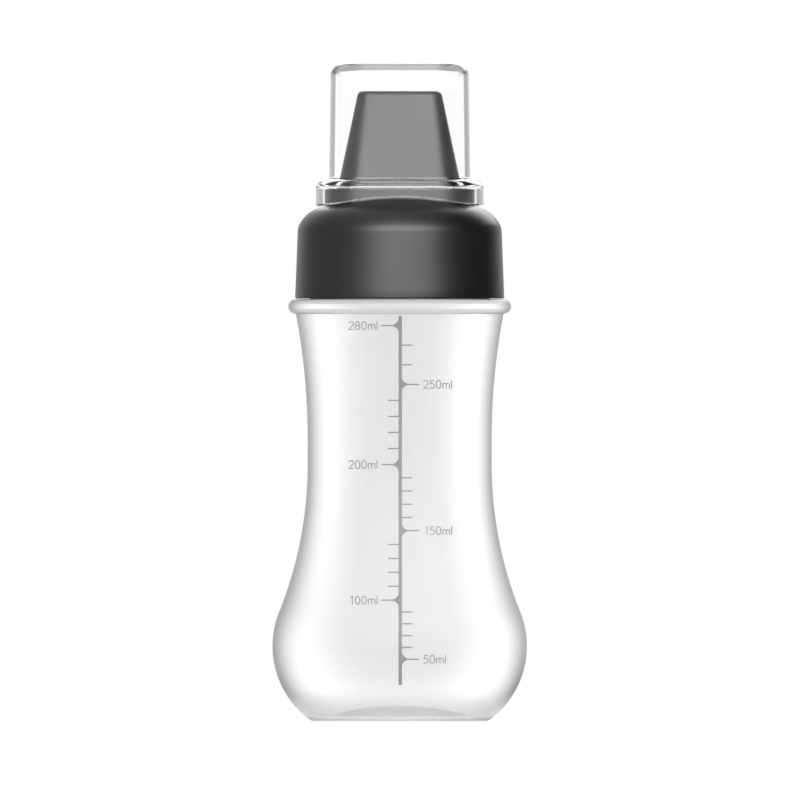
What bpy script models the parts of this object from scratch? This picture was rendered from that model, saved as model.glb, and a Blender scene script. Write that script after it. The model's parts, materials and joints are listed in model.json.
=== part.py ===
"""A squeeze bottle for sauces: a soft translucent body, a domed screw lid that clamps a wide nozzle with a
row of holes, and a clear dust cover that lifts off the nozzle.

Metres, +Z up. The origin is the middle of the foot on the table, and the nozzle is wide along X. Every
piece that moves turns or slides on the vertical axis through the origin, where its own origin lies.
"""

import math

import bmesh
import bpy

MM = 0.001

# The gap between two pieces that rest on each other.
REST_GAP = 0.3 * MM

# Bottle body: the outline is a chain of tangent arcs from the foot to the shoulder.
FOOT_RADIUS = 24.2 * MM
FOOT_WIDTH = 4.3 * MM
FOOT_EDGE_HEIGHT = 0.9 * MM
FOOT_EDGE_INSET = 1.9 * MM
PUSH_UP_HEIGHT = 3.0 * MM
WAIST_RADIUS = 25.95 * MM
WAIST_HEIGHT = 72.5 * MM
WAIST_STRAIGHT = 7.0 * MM
BULGE_SWELL = 9.95 * MM
BULGE_ROUND = 25.7 * MM
FLARE_SWELL = 3.35 * MM
FLARE_HEIGHT = 35.3 * MM
BEAD_RADIUS = 2.1 * MM
BODY_WALL = 1.0 * MM
BASE_WALL = 1.3 * MM
LEDGE_WALL = 1.5 * MM

# Neck of the body, inside the lid.
SHOULDER_STEP = 4.0 * MM
NECK_WALL = 1.7 * MM
LIP_ROUND = 0.4 * MM

# Screw thread, on the neck and in the collar.
THREAD_PITCH = 4.2 * MM
THREAD_DEPTH = 1.35 * MM
THREAD_CLEARANCE = 0.45 * MM
THREAD_FLANK_GAP = 0.3 * MM
THREAD_FOOT_WIDTH = 2.6 * MM
THREAD_CREST_WIDTH = 1.2 * MM
THREAD_SINK = 0.4 * MM
THREAD_BELOW_LIP = 4.0 * MM
THREAD_ABOVE_FOOT = 2.0 * MM
THREAD_RUN_OUT_TURNS = 0.1
THREAD_END_DEPTH = 0.4 * MM
NECK_THREAD_TURNS = 1.25
COLLAR_THREAD_TURNS = 1.0
UNSCREW_TURNS = 1.5

# Sealing ring between the lip of the neck and the nozzle's flange.
SEAL_THICKNESS = 1.6 * MM

# Screw collar, the domed lid.
COLLAR_WALL = 1.65 * MM
COLLAR_DRAFT = 0.75 * MM
COLLAR_FOOT_EDGE = 0.4 * MM
CROWN_ROUND = 76.0 * MM
DOME_SHOULDER_ROUND = 9.5 * MM
DOME_SHOULDER_TURN = math.radians(70)
DOME_WALL = 1.8 * MM
DOME_EDGE_ROUND = 1.0 * MM
LAND_WIDTH = 3.7 * MM
APERTURE_MARGIN = 1.9 * MM
APERTURE_GAP = 0.3 * MM

# Nozzle insert. Every plan section of it and of the cover is a slot shape: two half circles a straight apart.
FLANGE_THICKNESS = 1.6 * MM
FLANGE_INSET = 0.3 * MM
SPIGOT_DEPTH = 3.0 * MM
SPIGOT_WALL = 0.9 * MM
SPIGOT_CLEARANCE = 0.5 * MM
PLINTH_ROUND = 11.2 * MM
PLINTH_RISE = 1.9 * MM
PLINTH_WALL = 1.8 * MM
PLINTH_EDGE = 0.5 * MM
NOZZLE_FOOT_ROUND = 7.5 * MM
NOZZLE_TIP_ROUND = 3.5 * MM
NOZZLE_HEIGHT = 27.5 * MM
NOZZLE_EDGE = 1.6 * MM
NOZZLE_WALL = 1.5 * MM
NOZZLE_TOP_WALL = 1.8 * MM
HOLE_COUNT = 5
HOLE_PITCH = 4.1 * MM
HOLE_RADIUS = 1.0 * MM

# Dust cover: a clear box over the nozzle, with a skirt round the plinth that follows the dome.
SKIRT_CLEARANCE = 0.6 * MM
SKIRT_WALL = 1.9 * MM
SKIRT_DOME_GAP = 0.5 * MM
BRIM_THICKNESS = 2.0 * MM
BRIM_GAP = 0.4 * MM
BRIM_EDGE = 2.4 * MM
BRIM_INNER_EDGE = 0.6 * MM
COVER_NOZZLE_GAP = 0.9 * MM
COVER_WALL = 1.5 * MM
COVER_TOP_WALL = 1.85 * MM
COVER_HEADROOM = 6.1 * MM
COVER_DRAFT = 0.4 * MM
COVER_EDGE = 3.8 * MM
COVER_ROOT_ROUND = 0.6 * MM

# How finely round shapes are cut: sides to a full turn, and steps to an arc.
TURNED_SIDES = 48
SLOT_END_STEPS = 14
SLOT_SIDE_STEPS = 6
LONG_ARC_STEPS = 8
SHORT_ARC_STEPS = 4
EDGE_STEPS = 3
HOLE_SIDES = 16
SHARP_ANGLE = math.radians(30)
WELD_DISTANCE = 0.001 * MM

# Sizes that follow from the ones above, from the table up.
BULGE_RADIUS = WAIST_RADIUS + BULGE_SWELL
BULGE_CENTRE = BULGE_RADIUS - BULGE_ROUND
FOOT_REACH = FOOT_RADIUS + FOOT_EDGE_INSET - BULGE_CENTRE
BULGE_HEIGHT = FOOT_EDGE_HEIGHT + math.sqrt(BULGE_ROUND**2 - FOOT_REACH**2)
SHOULDER_RADIUS = WAIST_RADIUS + FLARE_SWELL
SHOULDER_HEIGHT = WAIST_HEIGHT + WAIST_STRAIGHT + FLARE_HEIGHT
LEDGE_HEIGHT = SHOULDER_HEIGHT + 2 * BEAD_RADIUS
COLLAR_FOOT_HEIGHT = LEDGE_HEIGHT + REST_GAP

# At rest the collar's ridge runs this far under the neck's, which leaves a gap between their flanks.
THREAD_SLOPE = (THREAD_FOOT_WIDTH - THREAD_CREST_WIDTH) / 2 / THREAD_DEPTH
THREAD_DROP = THREAD_FOOT_WIDTH - THREAD_SLOPE * (THREAD_DEPTH + THREAD_CLEARANCE) + THREAD_FLANK_GAP
COLLAR_THREAD_TOP = (
    COLLAR_FOOT_HEIGHT + THREAD_ABOVE_FOOT + THREAD_FOOT_WIDTH / 2 + COLLAR_THREAD_TURNS * THREAD_PITCH
)
NECK_THREAD_TOP = COLLAR_THREAD_TOP + THREAD_DROP + (UNSCREW_TURNS - COLLAR_THREAD_TURNS) * THREAD_PITCH
NECK_RADIUS = SHOULDER_RADIUS - SHOULDER_STEP
NECK_BORE = NECK_RADIUS - NECK_WALL
LIP_HEIGHT = NECK_THREAD_TOP + THREAD_BELOW_LIP
COLLAR_BORE = NECK_RADIUS + THREAD_DEPTH + THREAD_CLEARANCE
COLLAR_RADIUS = COLLAR_BORE + COLLAR_WALL

SEAL_FOOT = LIP_HEIGHT + REST_GAP
FLANGE_FOOT = SEAL_FOOT + SEAL_THICKNESS + REST_GAP
FLANGE_TOP = FLANGE_FOOT + FLANGE_THICKNESS
FLANGE_RADIUS = COLLAR_BORE - THREAD_DEPTH - FLANGE_INSET
SPIGOT_RADIUS = NECK_BORE - SPIGOT_CLEARANCE
LAND_HEIGHT = FLANGE_TOP + REST_GAP
LAND_RADIUS = COLLAR_BORE - LAND_WIDTH

# The dome is a wide crown that runs tangent into a rounder shoulder, which meets the collar's side.
DOME_SHOULDER_RADIUS = COLLAR_RADIUS - DOME_SHOULDER_ROUND * math.sin(DOME_SHOULDER_TURN)
DOME_SHOULDER_HEIGHT = LAND_HEIGHT - DOME_SHOULDER_ROUND * math.cos(DOME_SHOULDER_TURN)
CROWN_TURN = math.asin(DOME_SHOULDER_RADIUS / (CROWN_ROUND - DOME_SHOULDER_ROUND))
CROWN_CENTRE_HEIGHT = DOME_SHOULDER_HEIGHT - DOME_SHOULDER_RADIUS / math.tan(CROWN_TURN)
DOME_TOP = CROWN_CENTRE_HEIGHT + CROWN_ROUND

APERTURE_ROUND = PLINTH_ROUND + APERTURE_GAP
SLOT_STRAIGHT = 2 * (LAND_RADIUS - APERTURE_MARGIN - APERTURE_ROUND)
TIP_STRAIGHT = (HOLE_COUNT - 1) * HOLE_PITCH
PLINTH_TOP = DOME_TOP + PLINTH_RISE
NOZZLE_TOP = PLINTH_TOP + NOZZLE_HEIGHT
BRIM_UNDERSIDE = PLINTH_TOP + BRIM_GAP
BRIM_TOP = BRIM_UNDERSIDE + BRIM_THICKNESS
SKIRT_INNER_ROUND = PLINTH_ROUND + SKIRT_CLEARANCE
SKIRT_ROUND = SKIRT_INNER_ROUND + SKIRT_WALL
COVER_INNER_ROUND = NOZZLE_FOOT_ROUND + COVER_NOZZLE_GAP
COVER_CEILING = NOZZLE_TOP + COVER_HEADROOM
COVER_TOP = COVER_CEILING + COVER_TOP_WALL


def make_plastic(name, colour, roughness, alpha=1.0):
    """A material for one kind of moulded plastic."""
    material = bpy.data.materials.new(name)
    material.use_nodes = True
    shader = material.node_tree.nodes["Principled BSDF"]
    shader.inputs["Base Color"].default_value = (*colour, 1.0)
    shader.inputs["Roughness"].default_value = roughness
    shader.inputs["Metallic"].default_value = 0.0
    shader.inputs["Alpha"].default_value = alpha
    material.diffuse_color = (*colour, alpha)
    return material


def arc(centre, radius, start, end, steps):
    """Points (radius, height) along an arc from one angle to another, in radians, ends included."""
    turn = (end - start) / steps
    return [
        (centre[0] + radius * math.cos(start + turn * i), centre[1] + radius * math.sin(start + turn * i))
        for i in range(steps + 1)
    ]


def bend(start, corner, end, steps):
    """Points along a smooth bend that leaves start towards corner and arrives at end."""
    points = []
    for i in range(steps + 1):
        t = i / steps
        weights = ((1 - t) ** 2, 2 * t * (1 - t), t**2)
        points.append(tuple(sum(w * p[k] for w, p in zip(weights, (start, corner, end))) for k in (0, 1)))
    return points


def add_object(name, work, material=None):
    """Makes an object of a bmesh, smooth on its round stretches and sharp at its edges."""
    bmesh.ops.remove_doubles(work, verts=work.verts, dist=WELD_DISTANCE)
    bmesh.ops.recalc_face_normals(work, faces=work.faces)
    mesh = bpy.data.meshes.new(name)
    work.to_mesh(mesh)
    work.free()
    mesh.shade_smooth()
    mesh.set_sharp_from_angle(angle=SHARP_ANGLE)
    made = bpy.data.objects.new(name, mesh)
    bpy.context.scene.collection.objects.link(made)
    if material:
        made.data.materials.append(material)
    return made


def turn_outline(name, outline, closed=False, material=None):
    """Spins an outline of (radius, height) points a full turn about the vertical axis."""
    work = bmesh.new()
    points = [work.verts.new((radius, 0.0, height)) for radius, height in outline]
    pairs = list(zip(points, points[1:] + points[:1])) if closed else list(zip(points, points[1:]))
    edges = [work.edges.new(pair) for pair in pairs]
    bmesh.ops.spin(
        work,
        geom=points + edges,
        cent=(0, 0, 0),
        axis=(0, 0, 1),
        angle=2 * math.pi,
        steps=TURNED_SIDES,
        use_merge=True,
    )
    return add_object(name, work, material)


def slot_ring(end_round, height, straight=SLOT_STRAIGHT, side_steps=1):
    """A closed ring of points in the slot shape. height is a number, or a function of a point's distance
    from the vertical axis."""
    ring = []
    for side in (1, -1):
        half = []
        for i in range(SLOT_END_STEPS + 1):
            angle = math.pi * (i / SLOT_END_STEPS - 0.5)
            half.append((straight / 2 + end_round * math.cos(angle), end_round * math.sin(angle)))
        for i in range(1, side_steps):
            half.append((straight * (0.5 - i / side_steps), end_round))
        for x, y in half:
            ring.append((side * x, side * y, height(math.hypot(x, y)) if callable(height) else height))
    return ring


def loft(name, rings, material=None):
    """A closed skin over rings that hold as many points each, with a flat cap on the first and the last."""
    work = bmesh.new()
    loops = [[work.verts.new(point) for point in ring] for ring in rings]
    for lower, upper in zip(loops, loops[1:]):
        for i in range(len(lower)):
            j = (i + 1) % len(lower)
            work.faces.new((lower[i], lower[j], upper[j], upper[i]))
    work.faces.new(list(reversed(loops[0])))
    work.faces.new(loops[-1])
    return add_object(name, work, material)


def thread_ridge(name, root_radius, outward, top_height, turns):
    """A helical ridge that ends at top_height and runs down for some turns, thinning out at both ends.
    outward is 1 on the outside of the neck and -1 on the inside of the collar."""
    steps = round(turns * TURNED_SIDES)
    rings = []
    for i in range(steps + 1):
        turned = turns * i / steps
        angle = 2 * math.pi * (turned + 0.5 / TURNED_SIDES)
        height = top_height - (turns - turned) * THREAD_PITCH
        run_out = min(1.0, min(turned, turns - turned) / THREAD_RUN_OUT_TURNS)
        depth = THREAD_END_DEPTH + (THREAD_DEPTH - THREAD_END_DEPTH) * run_out
        root_half = THREAD_FOOT_WIDTH / 2 + THREAD_SLOPE * THREAD_SINK
        crest_half = THREAD_FOOT_WIDTH / 2 - THREAD_SLOPE * depth
        section = (
            (-THREAD_SINK, -root_half),
            (depth, -crest_half),
            (depth, crest_half),
            (-THREAD_SINK, root_half),
        )
        ring = []
        for out, up in section:
            radius = root_radius + outward * out
            ring.append((radius * math.cos(angle), radius * math.sin(angle), height + up))
        rings.append(ring)
    return loft(name, rings)


def apply_boolean(target, tool, operation):
    """Joins a helper object to the target, or cuts it out, and keeps the helper as a hidden wire."""
    tool.hide_render = True
    tool.display_type = "WIRE"
    step = target.modifiers.new(f"{operation.lower()} {tool.name}", "BOOLEAN")
    step.operation = operation
    step.solver = "EXACT"
    step.object = tool


def body_outline():
    """The outline of the bottle body, from the middle of the underside, up the outside and down the inside."""
    foot_inner = FOOT_RADIUS - FOOT_WIDTH
    push_up_round = (foot_inner**2 + PUSH_UP_HEIGHT**2) / (2 * PUSH_UP_HEIGHT)
    push_up_angle = math.asin(foot_inner / push_up_round)
    bulge_centre = (BULGE_CENTRE, BULGE_HEIGHT)

    # The arc between bulge and waist touches both, which sets its radius.
    across = WAIST_RADIUS - BULGE_CENTRE
    climb = WAIST_HEIGHT - BULGE_HEIGHT
    sweep = (across**2 + climb**2 - BULGE_ROUND**2) / (2 * (BULGE_ROUND - across))
    sweep_centre = (WAIST_RADIUS + sweep, WAIST_HEIGHT)
    touch = math.atan2(climb, sweep_centre[0] - BULGE_CENTRE)

    # The flare starts upright at the waist and ends at the shoulder.
    flare = (FLARE_SWELL**2 + FLARE_HEIGHT**2) / (2 * FLARE_SWELL)
    flare_centre = (WAIST_RADIUS + flare, WAIST_HEIGHT + WAIST_STRAIGHT)
    flare_angle = math.asin(FLARE_HEIGHT / flare)

    def side(wall, foot_height, steps):
        """One face of the side wall, from near the foot to the shoulder, wall inside the outer face."""
        start = math.asin((foot_height - BULGE_HEIGHT) / (BULGE_ROUND - wall))
        return [
            *arc(bulge_centre, BULGE_ROUND - wall, start, touch, steps),
            *arc(sweep_centre, sweep + wall, math.pi + touch, math.pi, SHORT_ARC_STEPS)[1:],
            *arc(flare_centre, flare + wall, math.pi, math.pi - flare_angle, SHORT_ARC_STEPS),
        ]

    outer_side = side(0.0, FOOT_EDGE_HEIGHT, LONG_ARC_STEPS)
    inner_foot = BASE_WALL + FOOT_EDGE_HEIGHT
    inner_side = side(BODY_WALL, inner_foot, LONG_ARC_STEPS - 1)
    foot_outer = (FOOT_RADIUS, 0.0)
    floor_edge = (inner_side[0][0] - FOOT_EDGE_INSET, BASE_WALL)
    ledge_under = LEDGE_HEIGHT - LEDGE_WALL
    inner_shoulder = inner_side[-1]

    outline = arc(
        (0.0, PUSH_UP_HEIGHT - push_up_round),
        push_up_round,
        math.pi / 2,
        math.pi / 2 - push_up_angle,
        EDGE_STEPS,
    )
    outline += bend(foot_outer, (FOOT_RADIUS + FOOT_EDGE_INSET / 2, 0.0), outer_side[0], EDGE_STEPS)
    outline += outer_side[1:]
    bead_centre = (SHOULDER_RADIUS, SHOULDER_HEIGHT + BEAD_RADIUS)
    outline += arc(bead_centre, BEAD_RADIUS, -math.pi / 2, math.pi / 2, 2 * EDGE_STEPS)[1:]
    outline += [
        (NECK_RADIUS, LEDGE_HEIGHT),
        (NECK_RADIUS, LIP_HEIGHT - LIP_ROUND),
        (NECK_RADIUS - LIP_ROUND, LIP_HEIGHT),
        (NECK_BORE + LIP_ROUND, LIP_HEIGHT),
        (NECK_BORE, LIP_HEIGHT - LIP_ROUND),
        (NECK_BORE, ledge_under),
    ]
    outline += reversed(
        bend(
            inner_shoulder,
            (inner_shoulder[0], ledge_under),
            (inner_shoulder[0] - BEAD_RADIUS, ledge_under),
            EDGE_STEPS,
        )
    )
    outline += reversed(inner_side[:-1])
    outline.append(floor_edge)
    inner_push_up = arc(
        (0.0, PUSH_UP_HEIGHT - push_up_round + BASE_WALL),
        push_up_round,
        math.pi / 2 - push_up_angle,
        math.pi / 2,
        EDGE_STEPS,
    )
    return outline + inner_push_up


def make_bottle_body(material):
    """The soft translucent body, with its bead, its neck and the thread on the neck."""
    body = turn_outline("bottle_body", body_outline(), material=material)
    ridge = thread_ridge("neck_thread", NECK_RADIUS, 1, NECK_THREAD_TOP, NECK_THREAD_TURNS)
    apply_boolean(body, ridge, "UNION")
    return body


def make_sealing_ring(material):
    """The flat soft ring that lies on the lip of the neck, round the nozzle's spigot."""
    inner = SPIGOT_RADIUS + REST_GAP
    top = SEAL_FOOT + SEAL_THICKNESS
    outline = [(inner, SEAL_FOOT), (NECK_RADIUS, SEAL_FOOT), (NECK_RADIUS, top), (inner, top)]
    return turn_outline("sealing_ring", outline, closed=True, material=material)


def dome_height(distance):
    """The height of the dome's outer face at a distance from the axis."""
    beyond = distance - DOME_SHOULDER_RADIUS
    if beyond > DOME_SHOULDER_ROUND * math.sin(CROWN_TURN):
        return DOME_SHOULDER_HEIGHT + math.sqrt(max(0.0, DOME_SHOULDER_ROUND**2 - beyond**2))
    return CROWN_CENTRE_HEIGHT + math.sqrt(CROWN_ROUND**2 - distance**2)


def dome_points(wall, end_turn):
    """One face of the dome, wall inside the outer face, from the axis to where it has turned down so far."""
    crown = arc(
        (0.0, CROWN_CENTRE_HEIGHT),
        CROWN_ROUND - wall,
        math.pi / 2,
        math.pi / 2 - CROWN_TURN,
        SHORT_ARC_STEPS,
    )
    shoulder = arc(
        (DOME_SHOULDER_RADIUS, DOME_SHOULDER_HEIGHT),
        DOME_SHOULDER_ROUND - wall,
        math.pi / 2 - CROWN_TURN,
        math.pi / 2 - end_turn,
        SHORT_ARC_STEPS,
    )
    return crown + shoulder[1:]


def collar_outline():
    """The outline of the collar, from the middle of the dome, down the outside and up the inside."""
    foot_radius = COLLAR_RADIUS + COLLAR_DRAFT
    draft_per_height = COLLAR_DRAFT / (LAND_HEIGHT - COLLAR_FOOT_HEIGHT)
    edge_foot = (COLLAR_RADIUS + DOME_EDGE_ROUND * draft_per_height, LAND_HEIGHT - DOME_EDGE_ROUND)
    outer_dome = dome_points(0.0, DOME_SHOULDER_TURN - DOME_EDGE_ROUND / DOME_SHOULDER_ROUND)
    land_reach = (LAND_RADIUS - DOME_SHOULDER_RADIUS) / (DOME_SHOULDER_ROUND - DOME_WALL)
    inner_dome = dome_points(DOME_WALL, max(CROWN_TURN, math.asin(min(1.0, land_reach))))
    return [
        *outer_dome,
        *bend(outer_dome[-1], (COLLAR_RADIUS, LAND_HEIGHT), edge_foot, EDGE_STEPS)[1:],
        (foot_radius, COLLAR_FOOT_HEIGHT + COLLAR_FOOT_EDGE),
        (foot_radius - COLLAR_FOOT_EDGE, COLLAR_FOOT_HEIGHT),
        (COLLAR_BORE + COLLAR_FOOT_EDGE, COLLAR_FOOT_HEIGHT),
        (COLLAR_BORE, COLLAR_FOOT_HEIGHT + COLLAR_FOOT_EDGE),
        (COLLAR_BORE, LAND_HEIGHT),
        (LAND_RADIUS, LAND_HEIGHT),
        *reversed(inner_dome),
    ]


def make_screw_collar(material):
    """The domed lid that screws on the neck, with a slot in its top for the nozzle."""
    collar = turn_outline("screw_collar", collar_outline(), material=material)
    ridge = thread_ridge("collar_thread", COLLAR_BORE, -1, COLLAR_THREAD_TOP, COLLAR_THREAD_TURNS)
    ridge.rotation_euler.z = 2 * math.pi * (NECK_THREAD_TURNS - UNSCREW_TURNS)
    apply_boolean(collar, ridge, "UNION")
    slot = loft(
        "nozzle_slot",
        [slot_ring(APERTURE_ROUND, FLANGE_FOOT), slot_ring(APERTURE_ROUND, PLINTH_TOP)],
    )
    apply_boolean(collar, slot, "DIFFERENCE")
    return collar


def make_nozzle_insert(material):
    """The nozzle with its plinth and the round flange that the collar clamps down on the seal."""
    flange = [
        (0.0, FLANGE_TOP),
        (FLANGE_RADIUS, FLANGE_TOP),
        (FLANGE_RADIUS, FLANGE_FOOT),
        (SPIGOT_RADIUS, FLANGE_FOOT),
        (SPIGOT_RADIUS, FLANGE_FOOT - SPIGOT_DEPTH),
        (SPIGOT_RADIUS - SPIGOT_WALL, FLANGE_FOOT - SPIGOT_DEPTH),
        (SPIGOT_RADIUS - SPIGOT_WALL, FLANGE_FOOT),
        (0.0, FLANGE_FOOT),
    ]
    insert = turn_outline("nozzle_insert", flange, material=material)

    def nozzle_step(height, inset=0.0):
        """The round, height and straight of the nozzle's outer face at a height, or of a face inside it."""
        share = (height - PLINTH_TOP) / NOZZLE_HEIGHT
        end_round = NOZZLE_FOOT_ROUND + (NOZZLE_TIP_ROUND - NOZZLE_FOOT_ROUND) * share
        return end_round - inset, height, SLOT_STRAIGHT + (TIP_STRAIGHT - SLOT_STRAIGHT) * share

    edge_foot = nozzle_step(NOZZLE_TOP - NOZZLE_EDGE)
    edge = bend(
        edge_foot[:2],
        (NOZZLE_TIP_ROUND, NOZZLE_TOP),
        (NOZZLE_TIP_ROUND - NOZZLE_EDGE, NOZZLE_TOP),
        SHORT_ARC_STEPS,
    )
    tower = [
        (PLINTH_ROUND, FLANGE_TOP - FLANGE_THICKNESS / 2),
        (PLINTH_ROUND, PLINTH_TOP - PLINTH_EDGE),
        (PLINTH_ROUND - PLINTH_EDGE, PLINTH_TOP),
        nozzle_step(PLINTH_TOP),
        *((end_round, height, edge_foot[2]) for end_round, height in edge),
    ]
    apply_boolean(insert, loft("tower", [slot_ring(*step) for step in tower]), "UNION")

    hollow = [
        (PLINTH_ROUND - PLINTH_WALL, FLANGE_FOOT - SPIGOT_DEPTH),
        (PLINTH_ROUND - PLINTH_WALL, PLINTH_TOP - PLINTH_WALL),
        nozzle_step(PLINTH_TOP - PLINTH_WALL, NOZZLE_WALL),
        nozzle_step(NOZZLE_TOP - NOZZLE_TOP_WALL, NOZZLE_WALL),
    ]
    apply_boolean(insert, loft("hollow", [slot_ring(*step) for step in hollow]), "DIFFERENCE")

    for i in range(HOLE_COUNT):
        work = bmesh.new()
        bmesh.ops.create_cone(
            work,
            cap_ends=True,
            segments=HOLE_SIDES,
            radius1=HOLE_RADIUS,
            radius2=HOLE_RADIUS,
            depth=2 * (NOZZLE_TOP_WALL + NOZZLE_EDGE),
        )
        hole = add_object(f"spout_hole_{i + 1}", work)
        hole.location = (i * HOLE_PITCH - TIP_STRAIGHT / 2, 0.0, NOZZLE_TOP)
        apply_boolean(insert, hole, "DIFFERENCE")
    return insert


def make_dust_cover(material):
    """The clear cover: a box over the nozzle, a brim, and a skirt whose lower edge follows the dome."""

    def skirt_edge(distance):
        """The height of the skirt's lower edge, a gap above the dome."""
        return dome_height(distance) + SKIRT_DOME_GAP

    top_round = COVER_INNER_ROUND + COVER_WALL - COVER_DRAFT
    root_round = COVER_INNER_ROUND + COVER_WALL
    inner_edge = COVER_EDGE - COVER_WALL
    outer = [
        *arc((top_round - COVER_EDGE, COVER_TOP - COVER_EDGE), COVER_EDGE, math.pi / 2, 0.0, SHORT_ARC_STEPS),
        *bend(
            (root_round, BRIM_TOP + COVER_ROOT_ROUND),
            (root_round, BRIM_TOP),
            (root_round + COVER_ROOT_ROUND, BRIM_TOP),
            EDGE_STEPS,
        ),
        *arc((SKIRT_ROUND - BRIM_EDGE, BRIM_TOP - BRIM_EDGE), BRIM_EDGE, math.pi / 2, 0.0, SHORT_ARC_STEPS),
        (SKIRT_ROUND, skirt_edge),
    ]
    inner = [
        (SKIRT_INNER_ROUND, skirt_edge),
        *arc(
            (SKIRT_INNER_ROUND - BRIM_INNER_EDGE, BRIM_UNDERSIDE - BRIM_INNER_EDGE),
            BRIM_INNER_EDGE,
            0.0,
            math.pi / 2,
            EDGE_STEPS,
        ),
        (COVER_INNER_ROUND, BRIM_UNDERSIDE),
        *arc(
            (COVER_INNER_ROUND - COVER_DRAFT - inner_edge, COVER_CEILING - inner_edge),
            inner_edge,
            0.0,
            math.pi / 2,
            EDGE_STEPS,
        ),
    ]
    rings = [slot_ring(*step, side_steps=SLOT_SIDE_STEPS) for step in outer + inner]
    return loft("dust_cover", rings, material)


def main():
    """Builds every piece in place."""
    for old in list(bpy.data.objects):
        bpy.data.objects.remove(old)
    milky = make_plastic("milky_polyethylene", (0.86, 0.87, 0.87), 0.35, 0.55)
    charcoal = make_plastic("charcoal_plastic", (0.035, 0.035, 0.036), 0.38)
    silicone = make_plastic("seal_silicone", (0.78, 0.78, 0.76), 0.6)
    clear = make_plastic("clear_plastic", (0.93, 0.94, 0.94), 0.06, 0.3)
    make_bottle_body(milky)
    make_sealing_ring(silicone)
    make_screw_collar(charcoal)
    make_nozzle_insert(charcoal)
    make_dust_cover(clear)


if __name__ == "__main__":
    main()
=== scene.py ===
"""The looks of the squeeze bottle: fine meshes, moulded-plastic finishes, the printed scale and the studio.

Everything is in metres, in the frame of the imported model, with +Z up. The nozzle is wide along X and the
printed scale faces -Y, which is the side that the camera sees.
"""

from __future__ import annotations

import json
import logging
import math
from collections.abc import Callable, Mapping, Sequence
from dataclasses import dataclass
from enum import Enum
from typing import Any

import bmesh
import bpy
from bpy.types import Material, Node, NodeSocket, NodeTree, Object
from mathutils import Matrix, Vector

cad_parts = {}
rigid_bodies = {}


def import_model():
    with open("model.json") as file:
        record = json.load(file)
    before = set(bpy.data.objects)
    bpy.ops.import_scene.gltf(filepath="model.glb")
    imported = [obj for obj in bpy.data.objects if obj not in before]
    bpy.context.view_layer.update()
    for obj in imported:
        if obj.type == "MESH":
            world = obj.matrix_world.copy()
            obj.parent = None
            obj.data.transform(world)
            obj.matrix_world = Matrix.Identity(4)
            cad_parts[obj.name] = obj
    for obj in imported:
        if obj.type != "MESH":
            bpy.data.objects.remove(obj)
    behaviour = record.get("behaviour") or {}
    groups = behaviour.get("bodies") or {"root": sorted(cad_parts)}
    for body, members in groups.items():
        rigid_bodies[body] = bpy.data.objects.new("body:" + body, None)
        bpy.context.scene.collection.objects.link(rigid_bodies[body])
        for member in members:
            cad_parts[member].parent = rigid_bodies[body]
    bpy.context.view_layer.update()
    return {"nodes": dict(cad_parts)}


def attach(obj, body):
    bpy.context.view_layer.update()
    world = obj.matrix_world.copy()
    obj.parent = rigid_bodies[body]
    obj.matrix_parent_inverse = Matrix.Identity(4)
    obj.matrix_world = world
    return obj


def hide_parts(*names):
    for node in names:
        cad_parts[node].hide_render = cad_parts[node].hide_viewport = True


MM = 0.001
QUARTER = math.pi / 2
WELD_DISTANCE = 0.0005 * MM
SHARP_ANGLE = math.radians(32)
EASE = 0.3
DENSITY = "edge_density"

log = logging.getLogger("squeeze_bottle")

Point = tuple[float, float]
Ring = list[tuple[float, float, float]]
Height = float | Callable[[float], float]
Stretch = tuple[Sequence[Point], float]
Inputs = Mapping[str | int, Any]


# Outlines: chains of (radius, height) points


def arc(centre: Point, radius: float, start: float, end: float, steps: int) -> list[Point]:
    """Points along an arc.

    Args:
        centre: Middle of the arc.
        radius: Its radius.
        start: Angle of the first point, in radians from the outward direction.
        end: Angle of the last.
        steps: How many equal steps the arc is cut into.

    Returns:
        The points, steps + 1 of them.
    """
    angles = [start + (end - start) / steps * i for i in range(steps + 1)]
    return [(centre[0] + radius * math.cos(angle), centre[1] + radius * math.sin(angle)) for angle in angles]


def bend(start: Point, corner: Point, end: Point, steps: int) -> list[Point]:
    """Points along a smooth bend, whose two ends both aim at its corner.

    Args:
        start: First point.
        corner: The corner that the bend rounds off.
        end: Last point.
        steps: How many steps the bend is cut into.

    Returns:
        The points, steps + 1 of them.
    """
    points = []
    for i in range(steps + 1):
        t = i / steps
        shares = ((1 - t) ** 2, 2 * t * (1 - t), t**2)
        points.append(tuple(sum(s * p[k] for s, p in zip(shares, (start, corner, end))) for k in (0, 1)))
    return points


def stretch(start: Sequence[float], end: Sequence[float], steps: int) -> list[tuple[float, ...]]:
    """Evenly spaced steps between two tuples of numbers, ends included."""
    return [tuple(a + (b - a) * i / steps for a, b in zip(start, end)) for i in range(steps + 1)]


def graded(points: Sequence[Point], start: float, steps: int) -> list[Stretch]:
    """Points whose density climbs softly from start, at the first, to 1 after so many steps."""
    shares = [min(1.0, i / steps) for i in range(len(points))]
    return [([point], start + (1 - start) * t * t * (3 - 2 * t)) for point, t in zip(points, shares)]


# Rings: closed loops of points, which a loft puts a skin over


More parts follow.
